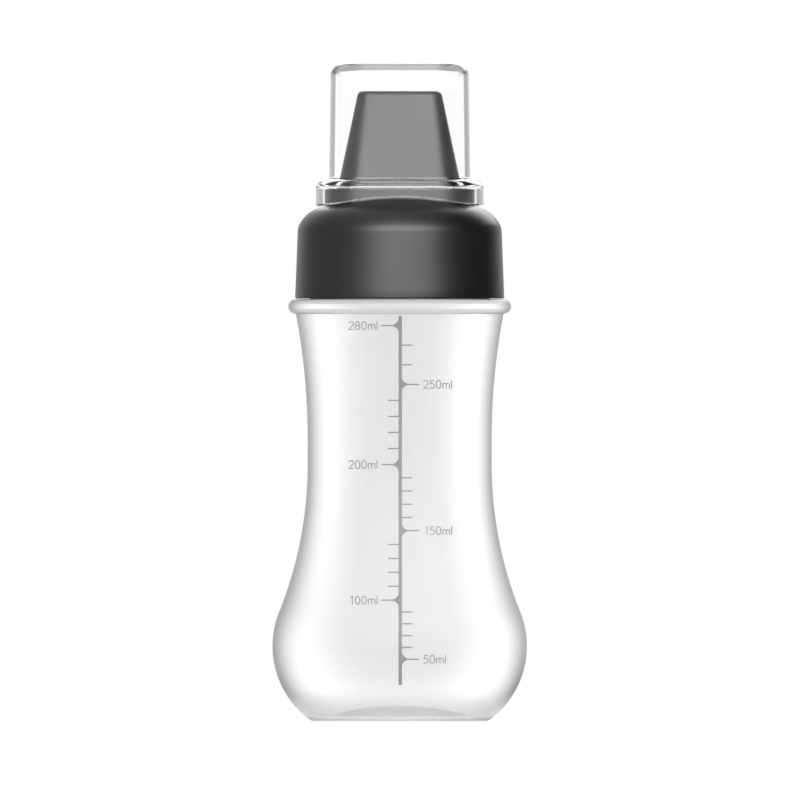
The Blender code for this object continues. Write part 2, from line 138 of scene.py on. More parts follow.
@dataclass(frozen=True)
class SlotPlan:
    """The slot shape of the nozzle and the cover: two half circles a straight apart.

    Attributes:
        end_steps: Steps in each half circle.
        side_steps: Steps along each straight side.
    """

    end_steps: int
    side_steps: int

    def ring(self, end_round: float, height: Height, straight: float) -> Ring:
        """A ring in the slot shape, counterclockwise as seen from above.

        Args:
            end_round: Radius of the half circles.
            height: A height, or a function of a point's distance from the axis.
            straight: Length of the straight sides.

        Returns:
            The points of the ring.
        """
        turns = [math.pi * (i / self.end_steps - 0.5) for i in range(self.end_steps + 1)]
        half = [(straight / 2 + end_round * math.cos(turn), end_round * math.sin(turn)) for turn in turns]
        half += [(straight * (0.5 - i / self.side_steps), end_round) for i in range(1, self.side_steps)]
        made = [(side * x, side * y) for side in (1, -1) for x, y in half]
        return [(x, y, height(math.hypot(x, y)) if callable(height) else height) for x, y in made]

    def circle(self, radius: float, height: float, like: Ring) -> Ring:
        """A round ring whose points lie in the same directions from the axis as those of another ring."""
        return [(radius * x / math.hypot(x, y), radius * y / math.hypot(x, y), height) for x, y, _ in like]


def between(inner: Ring, outer: Ring, share: float, height: Height | None = None) -> Ring:
    """A ring part of the way from one ring to another.

    Args:
        inner: Ring at share 0.
        outer: Ring at share 1.
        share: How far the made ring is towards the outer one.
        height: A function of the distance from the axis that sets the heights, or None to blend them.

    Returns:
        The points of the ring.
    """
    made = [tuple(p + (q - p) * share for p, q in zip(a, b)) for a, b in zip(inner, outer)]
    return [(x, y, height(math.hypot(x, y)) if callable(height) else z) for x, y, z in made]


# Meshes


def placed(name: str, data: bpy.types.ID) -> Object:
    """Makes an object and links it to the scene.

    Args:
        name: Name of the object.
        data: Its mesh, lamp or camera.

    Returns:
        The object.
    """
    made = bpy.data.objects.new(name, data)
    bpy.context.scene.collection.objects.link(made)
    return made


def plain_object(name: str, work: bmesh.types.BMesh, solid: bool = True) -> Object:
    """Makes an object of a bmesh, smooth on its round stretches and sharp at its edges.

    Args:
        name: Name of the object.
        work: The mesh, which is freed.
        solid: Whether it is closed, with its faces turned outwards. A flat one's face the front.

    Returns:
        The object.
    """
    bmesh.ops.remove_doubles(work, verts=work.verts, dist=WELD_DISTANCE)
    if solid:
        bmesh.ops.recalc_face_normals(work, faces=work.faces)
    else:
        work.normal_update()
        bmesh.ops.reverse_faces(work, faces=[face for face in work.faces if face.normal.y > 0])
    mesh = bpy.data.meshes.new(name)
    work.to_mesh(mesh)
    work.free()
    mesh.shade_smooth()
    mesh.set_sharp_from_angle(angle=SHARP_ANGLE)
    return placed(name, mesh)


def loft(name: str, rings: Sequence[Ring], closed: bool = False, densities: Sequence[float] = ()) -> Object:
    """A closed skin over rings that hold as many points each.

    Args:
        name: Name of the object.
        rings: The rings, in order along the skin.
        closed: Whether the last ring joins the first, in place of a flat cap on each.
        densities: What the finish reads at each ring, if it reads anything.

    Returns:
        The object.
    """
    work = bmesh.new()
    layer = work.verts.layers.float.new(DENSITY) if densities else None
    loops = [[work.verts.new(point) for point in ring] for ring in rings]
    for loop, density in zip(loops, densities):
        for vert in loop:
            vert[layer] = density
    for lower, upper in zip(loops, loops[1:] + loops[:1] if closed else loops[1:]):
        for i in range(len(lower)):
            work.faces.new((lower[i - 1], lower[i], upper[i], upper[i - 1]))
    if not closed:
        work.faces.new(loops[0][::-1])
        work.faces.new(loops[-1])
    return plain_object(name, work)


def chain_object(name: str, points: Sequence[tuple[float, float, float]]) -> Object:
    """A chain of points with loose edges as an object, for a node tree to work on.

    Args:
        name: Name of the object.
        points: The points. In an outline, X is the radius, Y the density and Z the height.

    Returns:
        The object.
    """
    mesh = bpy.data.meshes.new(name)
    mesh.from_pydata(points, [(i, i + 1) for i in range(len(points) - 1)], [])
    return placed(name, mesh)


# Nodes


def maths(operation: str, flipped: bool = False) -> Callable[..., Wire]:
    """Makes a method of Wire that adds one Math node.

    Args:
        operation: Blender's name of the operation.
        flipped: Whether the other number comes first, as in a reflected operator.

    Returns:
        The method.
    """

    def method(wire: Wire, *others: Wire | float) -> Wire:
        """Adds the node, and gives its result."""
        values = (*others, wire) if flipped else (wire, *others)
        return wire.book.read("ShaderNodeMath", 0, dict(enumerate(values)), operation=operation)

    return method


class Wire:
    """A number that flows between nodes, so that node maths reads as a Python expression."""

    __add__, __radd__ = maths("ADD"), maths("ADD", flipped=True)
    __sub__, __rsub__ = maths("SUBTRACT"), maths("SUBTRACT", flipped=True)
    __mul__, __rmul__ = maths("MULTIPLY"), maths("MULTIPLY", flipped=True)
    __truediv__, __rtruediv__ = maths("DIVIDE"), maths("DIVIDE", flipped=True)
    cos, sin, rounded = maths("COSINE"), maths("SINE"), maths("ROUND")
    most, least = maths("MAXIMUM"), maths("MINIMUM")

    def __init__(self, book: NodeBook, socket: NodeSocket) -> None:
        """Keeps the output socket that the number comes from, and the tree's book of nodes."""
        self.book = book
        self.socket = socket

    def ramp(self, low: float, high: float, start: float = 0.0, end: float = 1.0) -> Wire:
        """A smooth step from start, at low and before, to end, at high and beyond."""
        inputs = {0: self, 1: low, 2: high, 3: start, 4: end}
        return self.book.read("ShaderNodeMapRange", 0, inputs, interpolation_type="SMOOTHSTEP")


class NodeBook:
    """Adds nodes to one tree, of a material, the world or a geometry modifier."""

    def __init__(self, tree: NodeTree) -> None:
        """Keeps the tree."""
        self.tree = tree

    def feed(self, node: Node, inputs: Inputs) -> None:
        """Sets or links inputs of a node.

        Args:
            node: The node.
            inputs: By name or number, plain values, sockets, Wires, or nodes, whose first output is linked.
        """
        for key, value in inputs.items():
            source = value.socket if isinstance(value, Wire) else value
            source = source.outputs[0] if isinstance(source, Node) else source
            if isinstance(source, NodeSocket):
                self.tree.links.new(source, node.inputs[key])
            else:
                node.inputs[key].default_value = source

    def node(self, kind: str, inputs: Inputs | None = None, **settings: Any) -> Node:
        """Adds a node.

        Args:
            kind: Blender's type name of the node.
            inputs: What its sockets are fed.
            settings: Its own properties, which are set first.

        Returns:
            The node.
        """
        made = self.tree.nodes.new(kind)
        for name, value in settings.items():
            setattr(made, name, value)
        self.feed(made, inputs or {})
        return made

    def wire(self, node: Node, output: str | int = 0) -> Wire:
        """An output of a node, as a number to calculate with."""
        return Wire(self, node.outputs[output])

    def read(self, kind: str, output: str | int, inputs: Inputs | None = None, **settings: Any) -> Wire:
        """Adds a node, and gives one of its outputs as a number to calculate with."""
        return self.wire(self.node(kind, inputs, **settings), output)

    def axes(self, vector: NodeSocket | Node) -> list[Wire]:
        """The three numbers of a vector."""
        parts = self.node("ShaderNodeSeparateXYZ", {0: vector})
        return [self.wire(parts, axis) for axis in range(3)]

    def vector(self, x: Wire | float, y: Wire | float, z: Wire | float) -> Node:
        """A vector of three numbers."""
        return self.node("ShaderNodeCombineXYZ", {0: x, 1: y, 2: z})

    def mix(self, factor: Wire, low: Any, high: Any) -> NodeSocket:
        """A blend of two colours, each a socket or (r, g, b, 1): the first at factor 0, the second at 1."""
        return self.node("ShaderNodeMix", {0: factor, 6: low, 7: high}, data_type="RGBA").outputs[2]


class ShapeTree:
    """A geometry node tree with named inputs for its sizes."""

    def __init__(self, name: str, sizes: Mapping[str, float], objects: Sequence[str] = ()) -> None:
        """Starts the tree.

        Args:
            name: Name of the tree.
            sizes: Its inputs for sizes, angles and whole numbers, with their defaults.
            objects: Its inputs for other objects.
        """
        self.tree = bpy.data.node_groups.new(name, "GeometryNodeTree")
        self.book = NodeBook(self.tree)
        kinds = {"Geometry": "Geometry", "Material": "Material", **dict.fromkeys(objects, "Object")}
        kinds |= {label: "Int" if isinstance(size, int) else "Float" for label, size in sizes.items()}
        face = self.tree.interface
        face.new_socket("Geometry", in_out="OUTPUT", socket_type="NodeSocketGeometry")
        for label, kind in kinds.items():
            made = face.new_socket(label, in_out="INPUT", socket_type="NodeSocket" + kind)
            if label in sizes:
                made.default_value = sizes[label]
        self.entry = self.book.node("NodeGroupInput")

    def given(self, label: str = "Geometry") -> Wire:
        """One of the tree's inputs."""
        return self.book.wire(self.entry, label)

    def end(self, geometry: Node) -> None:
        """Realizes the instances, sets the material and closes the tree.

        Args:
            geometry: The node that gives the finished geometry.
        """
        real = self.book.node("GeometryNodeRealizeInstances", {"Geometry": geometry})
        inputs = {"Geometry": real, "Material": self.given("Material")}
        dressed = self.book.node("GeometryNodeSetMaterial", inputs)
        self.book.node("NodeGroupOutput", {"Geometry": dressed})

    def apply(self, name: str, seed: Object, values: Mapping[str, Any], solid: bool = True) -> Object:
        """Runs the tree on an object and keeps the result as a plain mesh.

        Args:
            name: Name of the made object.
            seed: The object that the tree starts from, which is removed.
            values: Values of the tree's inputs, by name.
            solid: Whether the result is closed.

        Returns:
            The made object.
        """
        step = seed.modifiers.new(self.tree.name, "NODES")
        step.node_group = self.tree
        for item in self.tree.interface.items_tree:
            if item.in_out == "INPUT" and item.name in values:
                step[item.identifier] = values[item.name]
        mesh = bpy.data.meshes.new_from_object(seed.evaluated_get(bpy.context.evaluated_depsgraph_get()))
        bpy.data.objects.remove(seed)
        work = bmesh.new()
        work.from_mesh(mesh)
        for face in work.faces:
            face.material_index = 0
        made = plain_object(name, work, solid)
        made.data.materials.append(values["Material"])
        return made


class TurnedShape(ShapeTree):
    """A tree that sweeps an outline round the vertical axis: a full turn for a turned wall, or along a helix
    for a screw thread, whose section then shrinks into the wall at both ends."""

    tiny = 1e-9

    def __init__(self) -> None:
        """Builds the tree."""
        sizes = dict.fromkeys(("Pitch", "Start Angle", "Root", "Foot", "Run Out"), 0.0)
        super().__init__("turned shape", {**sizes, "Turns": 1.0, "Sides": 160, "Outline Points": 2})
        book, given = self.book, self.given
        counts = {"Vertices X": given("Sides") + 1, "Vertices Y": given("Outline Points")}
        grid = book.node("GeometryNodeMeshGrid", {"Size X": 1.0, "Size Y": 1.0, **counts})
        place = book.node("GeometryNodeInputPosition")
        across, along, _ = book.axes(place)
        turned = across + 0.5
        index = ((along + 0.5) * (given("Outline Points") - 1)).rounded()
        source = {"Geometry": given(), "Value": place, "Index": index}
        sampled = book.node("GeometryNodeSampleIndex", source, data_type="FLOAT_VECTOR", domain="POINT")
        radius, density, height = book.axes(sampled)

        # The share of the section's full size, which falls to nothing over the run-out at both ends.
        from_end = turned.least(1 - turned) * given("Turns")
        full = ((from_end + self.tiny) / given("Run Out").most(self.tiny)).least(1.0)
        swept = given("Root") + (radius - given("Root")) * full
        raised = given("Foot") + height * full + given("Pitch") * given("Turns") * turned
        angle = given("Start Angle") + given("Turns") * turned * (2 * math.pi)
        noted = {"Geometry": grid, "Name": DENSITY, "Value": density}
        noted = book.node("GeometryNodeStoreNamedAttribute", noted, data_type="FLOAT", domain="POINT")
        position = book.vector(swept * angle.cos(), swept * angle.sin(), raised)
        moved = book.node("GeometryNodeSetPosition", {"Geometry": noted, "Position": position})
        self.end(book.node("GeometryNodeMergeByDistance", {"Geometry": moved, "Distance": WELD_DISTANCE}))

    def wall(self, name: str, outline: Sequence[Stretch], sides: int, material: Material) -> Object:
        """Turns a closed outline into a solid wall.

        Args:
            name: Name of the object.
            outline: The stretches of its section, from the axis back to it, each with its density.
            sides: Sides to a full turn.
            material: Its finish.

        Returns:
            The object.
        """
        seed = chain_object(name + "_outline", [(r, density, z) for run, density in outline for r, z in run])
        values = {"Sides": sides, "Outline Points": len(seed.data.vertices), "Material": material}
        return self.apply(name, seed, values)

    def ridge(self, name: str, thread: ScrewThread, side: ThreadSide, material: Material) -> Object:
        """Winds a thread's section into a ridge.

        Args:
            name: Name of the object.
            thread: Sizes of the thread.
            side: Whether it is the neck's or the collar's.
            material: Its finish.

        Returns:
            The object.
        """
        outward, root, top, turns, start = thread.placing(side)
        section = thread.section(outward, root)
        values = {
            "Turns": turns,
            "Pitch": thread.pitch,
            "Start Angle": start,
            "Root": root - outward * thread.sink,
            "Foot": top - turns * thread.pitch,
            "Run Out": thread.run_out,
            "Sides": round(turns * thread.sides),
            "Outline Points": len(section),
            "Material": material,
        }
        return self.apply(name, chain_object(name + "_section", [(r, 1.0, z) for r, z in section]), values)


# Finishes


class Tone(Enum):
    """Colours of the bottle's plastics and print, as linear red, green and blue."""

    MILKY = (0.89, 0.892, 0.892)
    # Grey of the edges, and of the painted shade on the bead's upper and lower faces.
    MILKY_EDGE_AND_SHADE = (0.24, 0.24, 0.241)
    MILKY_DEPTH = (0.25, 0.25, 0.25)
    CHARCOAL = (0.006, 0.006, 0.0061)
    CLEAR = (0.992, 0.993, 0.993)
    CLEAR_EDGE = (0.19, 0.192, 0.192)
    SILICONE = (0.74, 0.74, 0.72)
    INK = (0.24, 0.24, 0.245)

    def rgba(self, scale: float = 1.0) -> tuple[float, ...]:
        """The colour, made lighter or darker by a factor, with full opacity."""
        return (*(channel * scale for channel in self.value), 1.0)


@dataclass(frozen=True)
class Finish:
    """A moulded plastic: an even colour with faint cloudiness, and a fine surface grain.

    Attributes:
        name: Name of the material.
        tone: Its colour.
        cloudiness: How far the colour varies, as a share.
        cloud_scale: Cycles of the cloudiness to a metre.
        roughness: Mean roughness.
        roughness_spread: How far roughness varies up and down.
        grain_scale: Cycles of the surface grain to a metre.
        grain_height: Depth of the grain, in metres.
        refraction: Index of refraction.
        cloud_detail: How many finer layers the cloudiness has.
        grain_detail: How many the grain has.
        cloud_range: Values of the cloudiness between which roughness goes from its least to its most.
    """

    name: str
    tone: Tone
    cloudiness: float
    cloud_scale: float
    roughness: float
    roughness_spread: float
    grain_scale: float
    grain_height: float
    refraction: float = 1.5
    cloud_detail: float = 3.0
    grain_detail: float = 2.0
    cloud_range: tuple[float, float] = (0.3, 0.7)

    def start(self) -> tuple[Material, NodeBook, Node]:
        """Makes the material with its base shader.

        Returns:
            The material, its book of nodes and its Principled shader.
        """
        material = bpy.data.materials.new(self.name)
        material.use_nodes = True
        book = NodeBook(material.node_tree)
        place = book.node("ShaderNodeTexCoord").outputs["Object"]
        patterns = ((self.cloud_scale, self.cloud_detail), (self.grain_scale, self.grain_detail))
        cloud, grain = (
            book.read("ShaderNodeTexNoise", "Fac", {"Vector": place, "Scale": scale, "Detail": detail})
            for scale, detail in patterns
        )
        spread = self.roughness_spread
        shader = material.node_tree.nodes["Principled BSDF"]
        deep, pale = (self.tone.rgba(1 + sign * self.cloudiness) for sign in (-1, 1))
        inputs = {
            "Base Color": book.mix(cloud, deep, pale),
            "Roughness": cloud.ramp(*self.cloud_range, self.roughness - spread, self.roughness + spread),
            "Normal": book.node("ShaderNodeBump", {"Distance": self.grain_height, "Height": grain}),
            "IOR": self.refraction,
        }
        book.feed(shader, inputs)
        return material, book, shader

    def make(self) -> Material:
        """Makes the finished material."""
        return self.start()[0]


@dataclass(frozen=True)
class MilkyFinish(Finish):
    """Hazy polyethylene: what is behind it shows through in part, and less where a ray crosses more wall.

    The density of a face is 0 on the inside and about 1 on the outside. Above 1 it greys the face by itself,
    which paints shade on the bead's upper and lower faces. Below 1 on the outside it weakens the grey edge and
    the haze, which paints light from the floor on the foot and the lower wall.

    Attributes:
        edge_tone: Colour at the shallowest angles, and of the painted shade where the density is above 1.
        depth_tone: Colour of the inner face, which stands for the depth of the wall.
        skin_gain: How steeply the outer colour takes over from it as the density climbs.
        edge_start: How far a face is turned from the eye where the grey edge begins, from 0 to 1.
        edge_end: How far it is turned where the edge is full grey.
        haze_start: How far it is turned where the haze begins to thicken.
        haze_end: How far it is turned where the haze is thickest.
        haze: Share of the light that the outer face stops at haze_start.
        edge_haze: Share that it stops at the shallowest angles.
        inner_haze: Share that the inner face stops.
    """

    refraction: float = 1.42
    edge_tone: Tone = Tone.MILKY_EDGE_AND_SHADE
    depth_tone: Tone = Tone.MILKY_DEPTH
    skin_gain: float = 6.0
    edge_start: float = 0.33
    edge_end: float = 0.9
    haze_start: float = -0.12
    haze_end: float = 0.36
    haze: float = 0.43
    edge_haze: float = 0.98
    inner_haze: float = 0.13

    def make(self) -> Material:
        """Makes the finished material.

        Returns:
            The material.
        """
        material, book, shader = self.start()
        slant = book.read("ShaderNodeLayerWeight", "Facing")
        density = book.read("ShaderNodeAttribute", "Fac", attribute_name=DENSITY)
        face = shader.inputs["Base Color"].links[0].from_socket
        # Above a density of 1 the face greys evenly, a painted shade on the bead. Below 1 the grey edge and
        # the haze weaken, a painted light from the floor on the foot and the lower wall.
        edge = (slant.ramp(self.edge_start, self.edge_end) * density.least(1.0)).most(density - 1)
        tint = book.mix(edge, face, self.edge_tone.rgba())
        skin = (density * self.skin_gain).least(1.0)
        outer_haze = slant.ramp(self.haze_start, self.haze_end, self.haze, self.edge_haze)
        haze = (outer_haze * density + self.inner_haze * (1 - density)).least(self.edge_haze)
        book.feed(shader, {"Base Color": book.mix(skin, self.depth_tone.rgba(), tint), "Alpha": haze})
        return material


@dataclass(frozen=True)
class ClearFinish(Finish):
    """Clear hard plastic, greyed at its edges, where a ray crosses more of it.

    Attributes:
        edge_tone: Colour at the shallowest angles.
        edge_start: How far a face is turned from the eye, times its density, where the grey edge begins.
        edge_end: The same where the edge is full grey.
        gloss: How strongly it mirrors, where 0.5 is plain for its index of refraction.
        mirrorings: How often light is mirrored inside the plastic before it goes straight on, out of it.
    """

    edge_tone: Tone = Tone.CLEAR_EDGE
    edge_start: float = 0.43
    edge_end: float = 0.5
    gloss: float = 0.3
    mirrorings: int = 3

    def make(self) -> Material:
        """Makes the finished material.

        Returns:
            The material.
        """
        material, book, shader = self.start()
        slant = book.read("ShaderNodeLayerWeight", "Facing")
        density = book.read("ShaderNodeAttribute", "Fac", attribute_name=DENSITY)
        face = shader.inputs["Base Color"].links[0].from_socket
        tint = book.mix((slant * density).ramp(self.edge_start, self.edge_end), face, self.edge_tone.rgba())
        book.feed(shader, {"Base Color": tint, "Transmission Weight": 1.0, "Specular IOR Level": self.gloss})

        # Lamps shine straight through it, and so do the mirror images on what is near it. A ray that the
        # plastic mirrors inside itself is met from within, and has passed nothing clear before.
        paths = book.node("ShaderNodeLightPath")
        shadow = book.wire(paths, "Is Shadow Ray")
        image = book.wire(paths, "Is Glossy Ray") * (1 - book.wire(paths, "Is Transmission Ray"))
        within = book.read("ShaderNodeNewGeometry", "Backfacing")
        passed = book.wire(paths, "Transparent Depth").least(1.0)
        trapped = (book.wire(paths, "Glossy Depth") - self.mirrorings).most(0.0).least(1.0)
        passing = shadow.most(image * (1 - within).most(passed)).most(trapped)
        open_air = book.node("ShaderNodeBsdfTransparent", {"Color": self.tone.rgba()})
        both = book.node("ShaderNodeMixShader", {0: passing, 1: shader, 2: open_air})
        book.feed(material.node_tree.nodes["Material Output"], {"Surface": both})
        return material


class Finishes:
    """Every finish of the bottle, made once."""

    def __init__(self) -> None:
        """Makes the materials."""
        self.milky = MilkyFinish(
            name="milky_polyethylene",
            tone=Tone.MILKY,
            cloudiness=0.015,
            cloud_scale=45.0,
            roughness=0.36,
            roughness_spread=0.03,
            grain_scale=900.0,
            grain_height=0.01 * MM,
        ).make()
        self.charcoal = Finish(
            name="charcoal_satin",
            tone=Tone.CHARCOAL,
            cloudiness=0.06,
            cloud_scale=90.0,
            roughness=0.4,
            roughness_spread=0.02,
            grain_scale=3200.0,
            grain_height=0.004 * MM,
            refraction=1.62,
        ).make()
        self.clear = ClearFinish(
            name="clear_plastic",
            tone=Tone.CLEAR,
            cloudiness=0.01,
            cloud_scale=70.0,
            roughness=0.03,
            roughness_spread=0.01,
            grain_scale=140.0,
            grain_height=0.0004 * MM,
        ).make()
        self.silicone = Finish(
            name="seal_silicone",
            tone=Tone.SILICONE,
            cloudiness=0.03,
            cloud_scale=120.0,
            roughness=0.6,
            roughness_spread=0.04,
            grain_scale=2400.0,
            grain_height=0.006 * MM,
        ).make()
        self.ink = Finish(
            name="scale_ink",
            tone=Tone.INK,
            cloudiness=0.05,
            cloud_scale=900.0,
            roughness=0.5,
            roughness_spread=0.04,
            grain_scale=3600.0,
            grain_height=0.002 * MM,
        ).make()


# The bottle body


@dataclass
class BottleBody:
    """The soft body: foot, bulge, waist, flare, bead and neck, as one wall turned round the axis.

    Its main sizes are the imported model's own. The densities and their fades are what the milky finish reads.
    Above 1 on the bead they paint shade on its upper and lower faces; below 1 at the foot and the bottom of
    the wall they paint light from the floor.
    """

    foot_radius: float = 24.2 * MM
    foot_width: float = 4.3 * MM
    foot_soft: float = 0.25 * MM
    foot_edge_height: float = 0.9 * MM
    foot_edge_inset: float = 1.9 * MM
    push_up_height: float = 3.0 * MM
    waist_radius: float = 25.95 * MM
    waist_height: float = 72.5 * MM
    waist_straight: float = 7.0 * MM
    bulge_swell: float = 9.95 * MM
    bulge_round: float = 25.7 * MM
    flare_swell: float = 3.35 * MM
    flare_height: float = 35.3 * MM
    bead_radius: float = 2.1 * MM
    wall: float = 1.0 * MM
    base_wall: float = 1.3 * MM
    ledge_wall: float = 1.5 * MM
    shoulder_step: float = 4.0 * MM
    neck_wall: float = 1.7 * MM
    neck_root: float = 0.3 * MM
    lip_round: float = 0.4 * MM
    lip_height: float = 134.867 * MM
    bead_steps: int = 24
    bead_front: tuple[int, int] = (9, 14)
    # Painted shade: the bead's upper and lower faces are greyed, darker than its front.
    bead_top_shade_density: float = 1.45
    bead_under_shade_density: float = 1.52
    underside_density: float = 0.2
    # Painted light from the floor: the foot and the lower wall have weaker grey edges and less haze.
    foot_floor_light_density: float = 0.55
    bottom_floor_light_density: float = 0.28
    bottom_fade: int = 12
    floor_density: float = 0.1
    floor_fade: int = 7
    sides: int = 176

    @property
    def bulge_centre(self) -> Point:
        """Middle of the bulge's arc.

        Returns:
            Its radius and height.
        """
        reach = self.waist_radius + self.bulge_swell - self.bulge_round
        run = self.foot_radius + self.foot_edge_inset - reach
        return reach, self.foot_edge_height + math.sqrt(self.bulge_round**2 - run**2)

    @property
    def sweep(self) -> float:
        """The hollow arc between bulge and waist, which touches both.

        Returns:
            Its radius.
        """
        reach, height = self.bulge_centre
        across, climb = self.waist_radius - reach, self.waist_height - height
        return (across**2 + climb**2 - self.bulge_round**2) / (2 * (self.bulge_round - across))

    @property
    def flare(self) -> float:
        """Radius of the hollow arc between waist and shoulder."""
        return (self.flare_swell**2 + self.flare_height**2) / (2 * self.flare_swell)

    def side(self, wall: float, foot_height: float) -> list[Point]:
        """One face of the side wall, from near the foot to the shoulder.

        Args:
            wall: How far inside the outer face it lies.
            foot_height: Height at which it starts.

        Returns:
            The points of the outline.
        """
        reach, middle = self.bulge_centre
        touch = math.atan2(self.waist_height - middle, self.waist_radius + self.sweep - reach)
        start = math.asin((foot_height - middle) / (self.bulge_round - wall))
        sweep_centre = (self.waist_radius + self.sweep, self.waist_height)
        flare_centre = (self.waist_radius + self.flare, self.waist_height + self.waist_straight)
        flare_turn = math.asin(self.flare_height / self.flare)
        return [
            *arc((reach, middle), self.bulge_round - wall, start, touch, steps=36),
            *arc(sweep_centre, self.sweep + wall, math.pi + touch, math.pi, steps=16)[1:],
            *arc(flare_centre, self.flare + wall, math.pi, math.pi - flare_turn, steps=14),
        ]

    def outline(self) -> list[Stretch]:
        """The whole section: the outer face from the underside's middle to the lip, and back inside.

        Returns:
            Its stretches, each with its density.
        """
        foot_inner = self.foot_radius - self.foot_width
        dish = (foot_inner**2 + self.push_up_height**2) / (2 * self.push_up_height)
        dish_turn = math.asin(foot_inner / dish)
        dish_middle = self.push_up_height - dish
        underside = arc((0.0, dish_middle), dish, QUARTER, QUARTER - dish_turn, steps=12)
        underside += [(foot_inner + self.foot_soft, 0.0), (self.foot_radius - self.foot_soft, 0.0)]
        outer = self.side(0.0, self.foot_edge_height)
        foot_edge = (self.foot_radius + self.foot_edge_inset / 2, 0.0)
        foot = bend((self.foot_radius, 0.0), foot_edge, outer[0], steps=8)

        shoulder = self.waist_radius + self.flare_swell
        bead_foot = self.waist_height + self.waist_straight + self.flare_height
        bead_centre = (shoulder, bead_foot + self.bead_radius)
        bead = arc(bead_centre, self.bead_radius, -QUARTER, QUARTER, self.bead_steps)[1:]
        front, over = self.bead_front
        ledge = bead_foot + 2 * self.bead_radius
        neck = shoulder - self.shoulder_step
        lip, lip_middle = self.lip_round, self.lip_height - self.lip_round
        top = [(neck + self.neck_root, ledge), (neck, ledge), (neck, ledge + self.neck_root)]
        top += arc((neck - lip, lip_middle), lip, 0.0, QUARTER, steps=5)

        bore, under_ledge = neck - self.neck_wall, ledge - self.ledge_wall
        inner = self.side(self.wall, self.base_wall + self.foot_edge_height)
        (low, _), (high, _) = inner[0], inner[-1]
        step = bend(inner[-1], (high, under_ledge), (high - self.bead_radius, under_ledge), steps=10)
        floor_edge = (low - self.foot_edge_inset, self.base_wall)
        back = [
            *arc((bore + lip, lip_middle), lip, QUARTER, math.pi, steps=5),
            (bore, under_ledge),
            *reversed(step),
            *reversed(inner[:-1]),
            *bend(inner[0], (low - self.foot_edge_inset / 2, self.base_wall), floor_edge, steps=6)[1:-1],
        ]
        floor = arc((0.0, dish_middle + self.base_wall), dish, QUARTER - dish_turn, QUARTER, steps=12)
        return [
            (underside, self.underside_density),
            # Lower densities on the foot and the bottom of the wall: painted light from the floor.
            (foot, self.foot_floor_light_density),
            *graded(outer[1:], self.bottom_floor_light_density, self.bottom_fade),
            # The bead's lower and upper faces: painted shade, greyed by densities above 1.
            (bead[:front], self.bead_under_shade_density),
            (bead[front:over], 1.0),
            (bead[over:], self.bead_top_shade_density),
            (top, 1.0),
            (back, 0.0),
            *graded([floor_edge, *floor], self.floor_density, self.floor_fade),
        ]

    def build(self, turner: TurnedShape, thread: ScrewThread, finishes: Finishes) -> list[Object]:
        """Makes the body and the ridge on its neck.

        Args:
            turner: The tree that turns outlines.
            thread: Sizes of the screw thread.
            finishes: The bottle's materials.

        Returns:
            The body's wall, and the ridge.
        """
        shell = turner.wall("body_shell", self.outline(), self.sides, finishes.milky)
        ridge = turner.ridge("neck_thread", thread, ThreadSide.NECK, finishes.milky)
        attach(shell, "bottle")
        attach(ridge, "bottle")
        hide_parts("bottle_body")
        return [shell, ridge]


# The screw thread


class ThreadSide(Enum):
    """Which of the two pieces a ridge is on."""

    NECK = 1
    COLLAR = -1


@dataclass
class ScrewThread:
    """The ridge on the neck and its mate in the collar, which clear each other by a small gap."""

    pitch: float = 4.2 * MM
    depth: float = 1.35 * MM
    clearance: float = 0.45 * MM
    foot_width: float = 2.6 * MM
    crest_width: float = 1.2 * MM
    crest_soft: float = 0.25 * MM
    sink: float = 0.4 * MM
    run_out: float = 0.12
    start: float = math.pi / 48
    neck_turns: float = 1.25
    collar_turns: float = 1.0
    unscrew_turns: float = 1.5
    neck_root: float = 25.3 * MM
    neck_top: float = 130.867 * MM
    collar_top: float = 126.8 * MM
    sides: int = 96

    def placing(self, side: ThreadSide) -> tuple[int, float, float, float, float]:
        """Where a ridge is.

        Args:
            side: The neck's ridge or the collar's.

        Returns:
            Outward sign, root radius, height of its top end, turns, and start angle.
        """
        if side is ThreadSide.NECK:
            return side.value, self.neck_root, self.neck_top, self.neck_turns, self.start
        start = self.start + 2 * math.pi * (self.neck_turns - self.unscrew_turns)
        root = self.neck_root + self.depth + self.clearance
        return side.value, root, self.collar_top, self.collar_turns, start

    def section(self, outward: int, root: float) -> list[Point]:
        """The ridge's section as a closed outline, with rounded crest corners.

        Args:
            outward: 1 on the neck, -1 in the collar.
            root: Radius of the wall that it stands on.

        Returns:
            The (radius, height) points, with heights from the middle of the ridge.
        """
        slope = (self.foot_width - self.crest_width) / 2 / self.depth
        crest, soft = self.crest_width / 2, self.crest_soft
        half = [
            (-self.sink, self.foot_width / 2 + slope * self.sink),
            (self.depth - soft, crest + slope * soft),
            (self.depth - EASE * soft, crest),
            (self.depth, crest - soft),
        ]
        across = [*half, *((out, -up) for out, up in reversed(half)), half[0]]
        return [(root + outward * out, up) for out, up in across]


# The lid


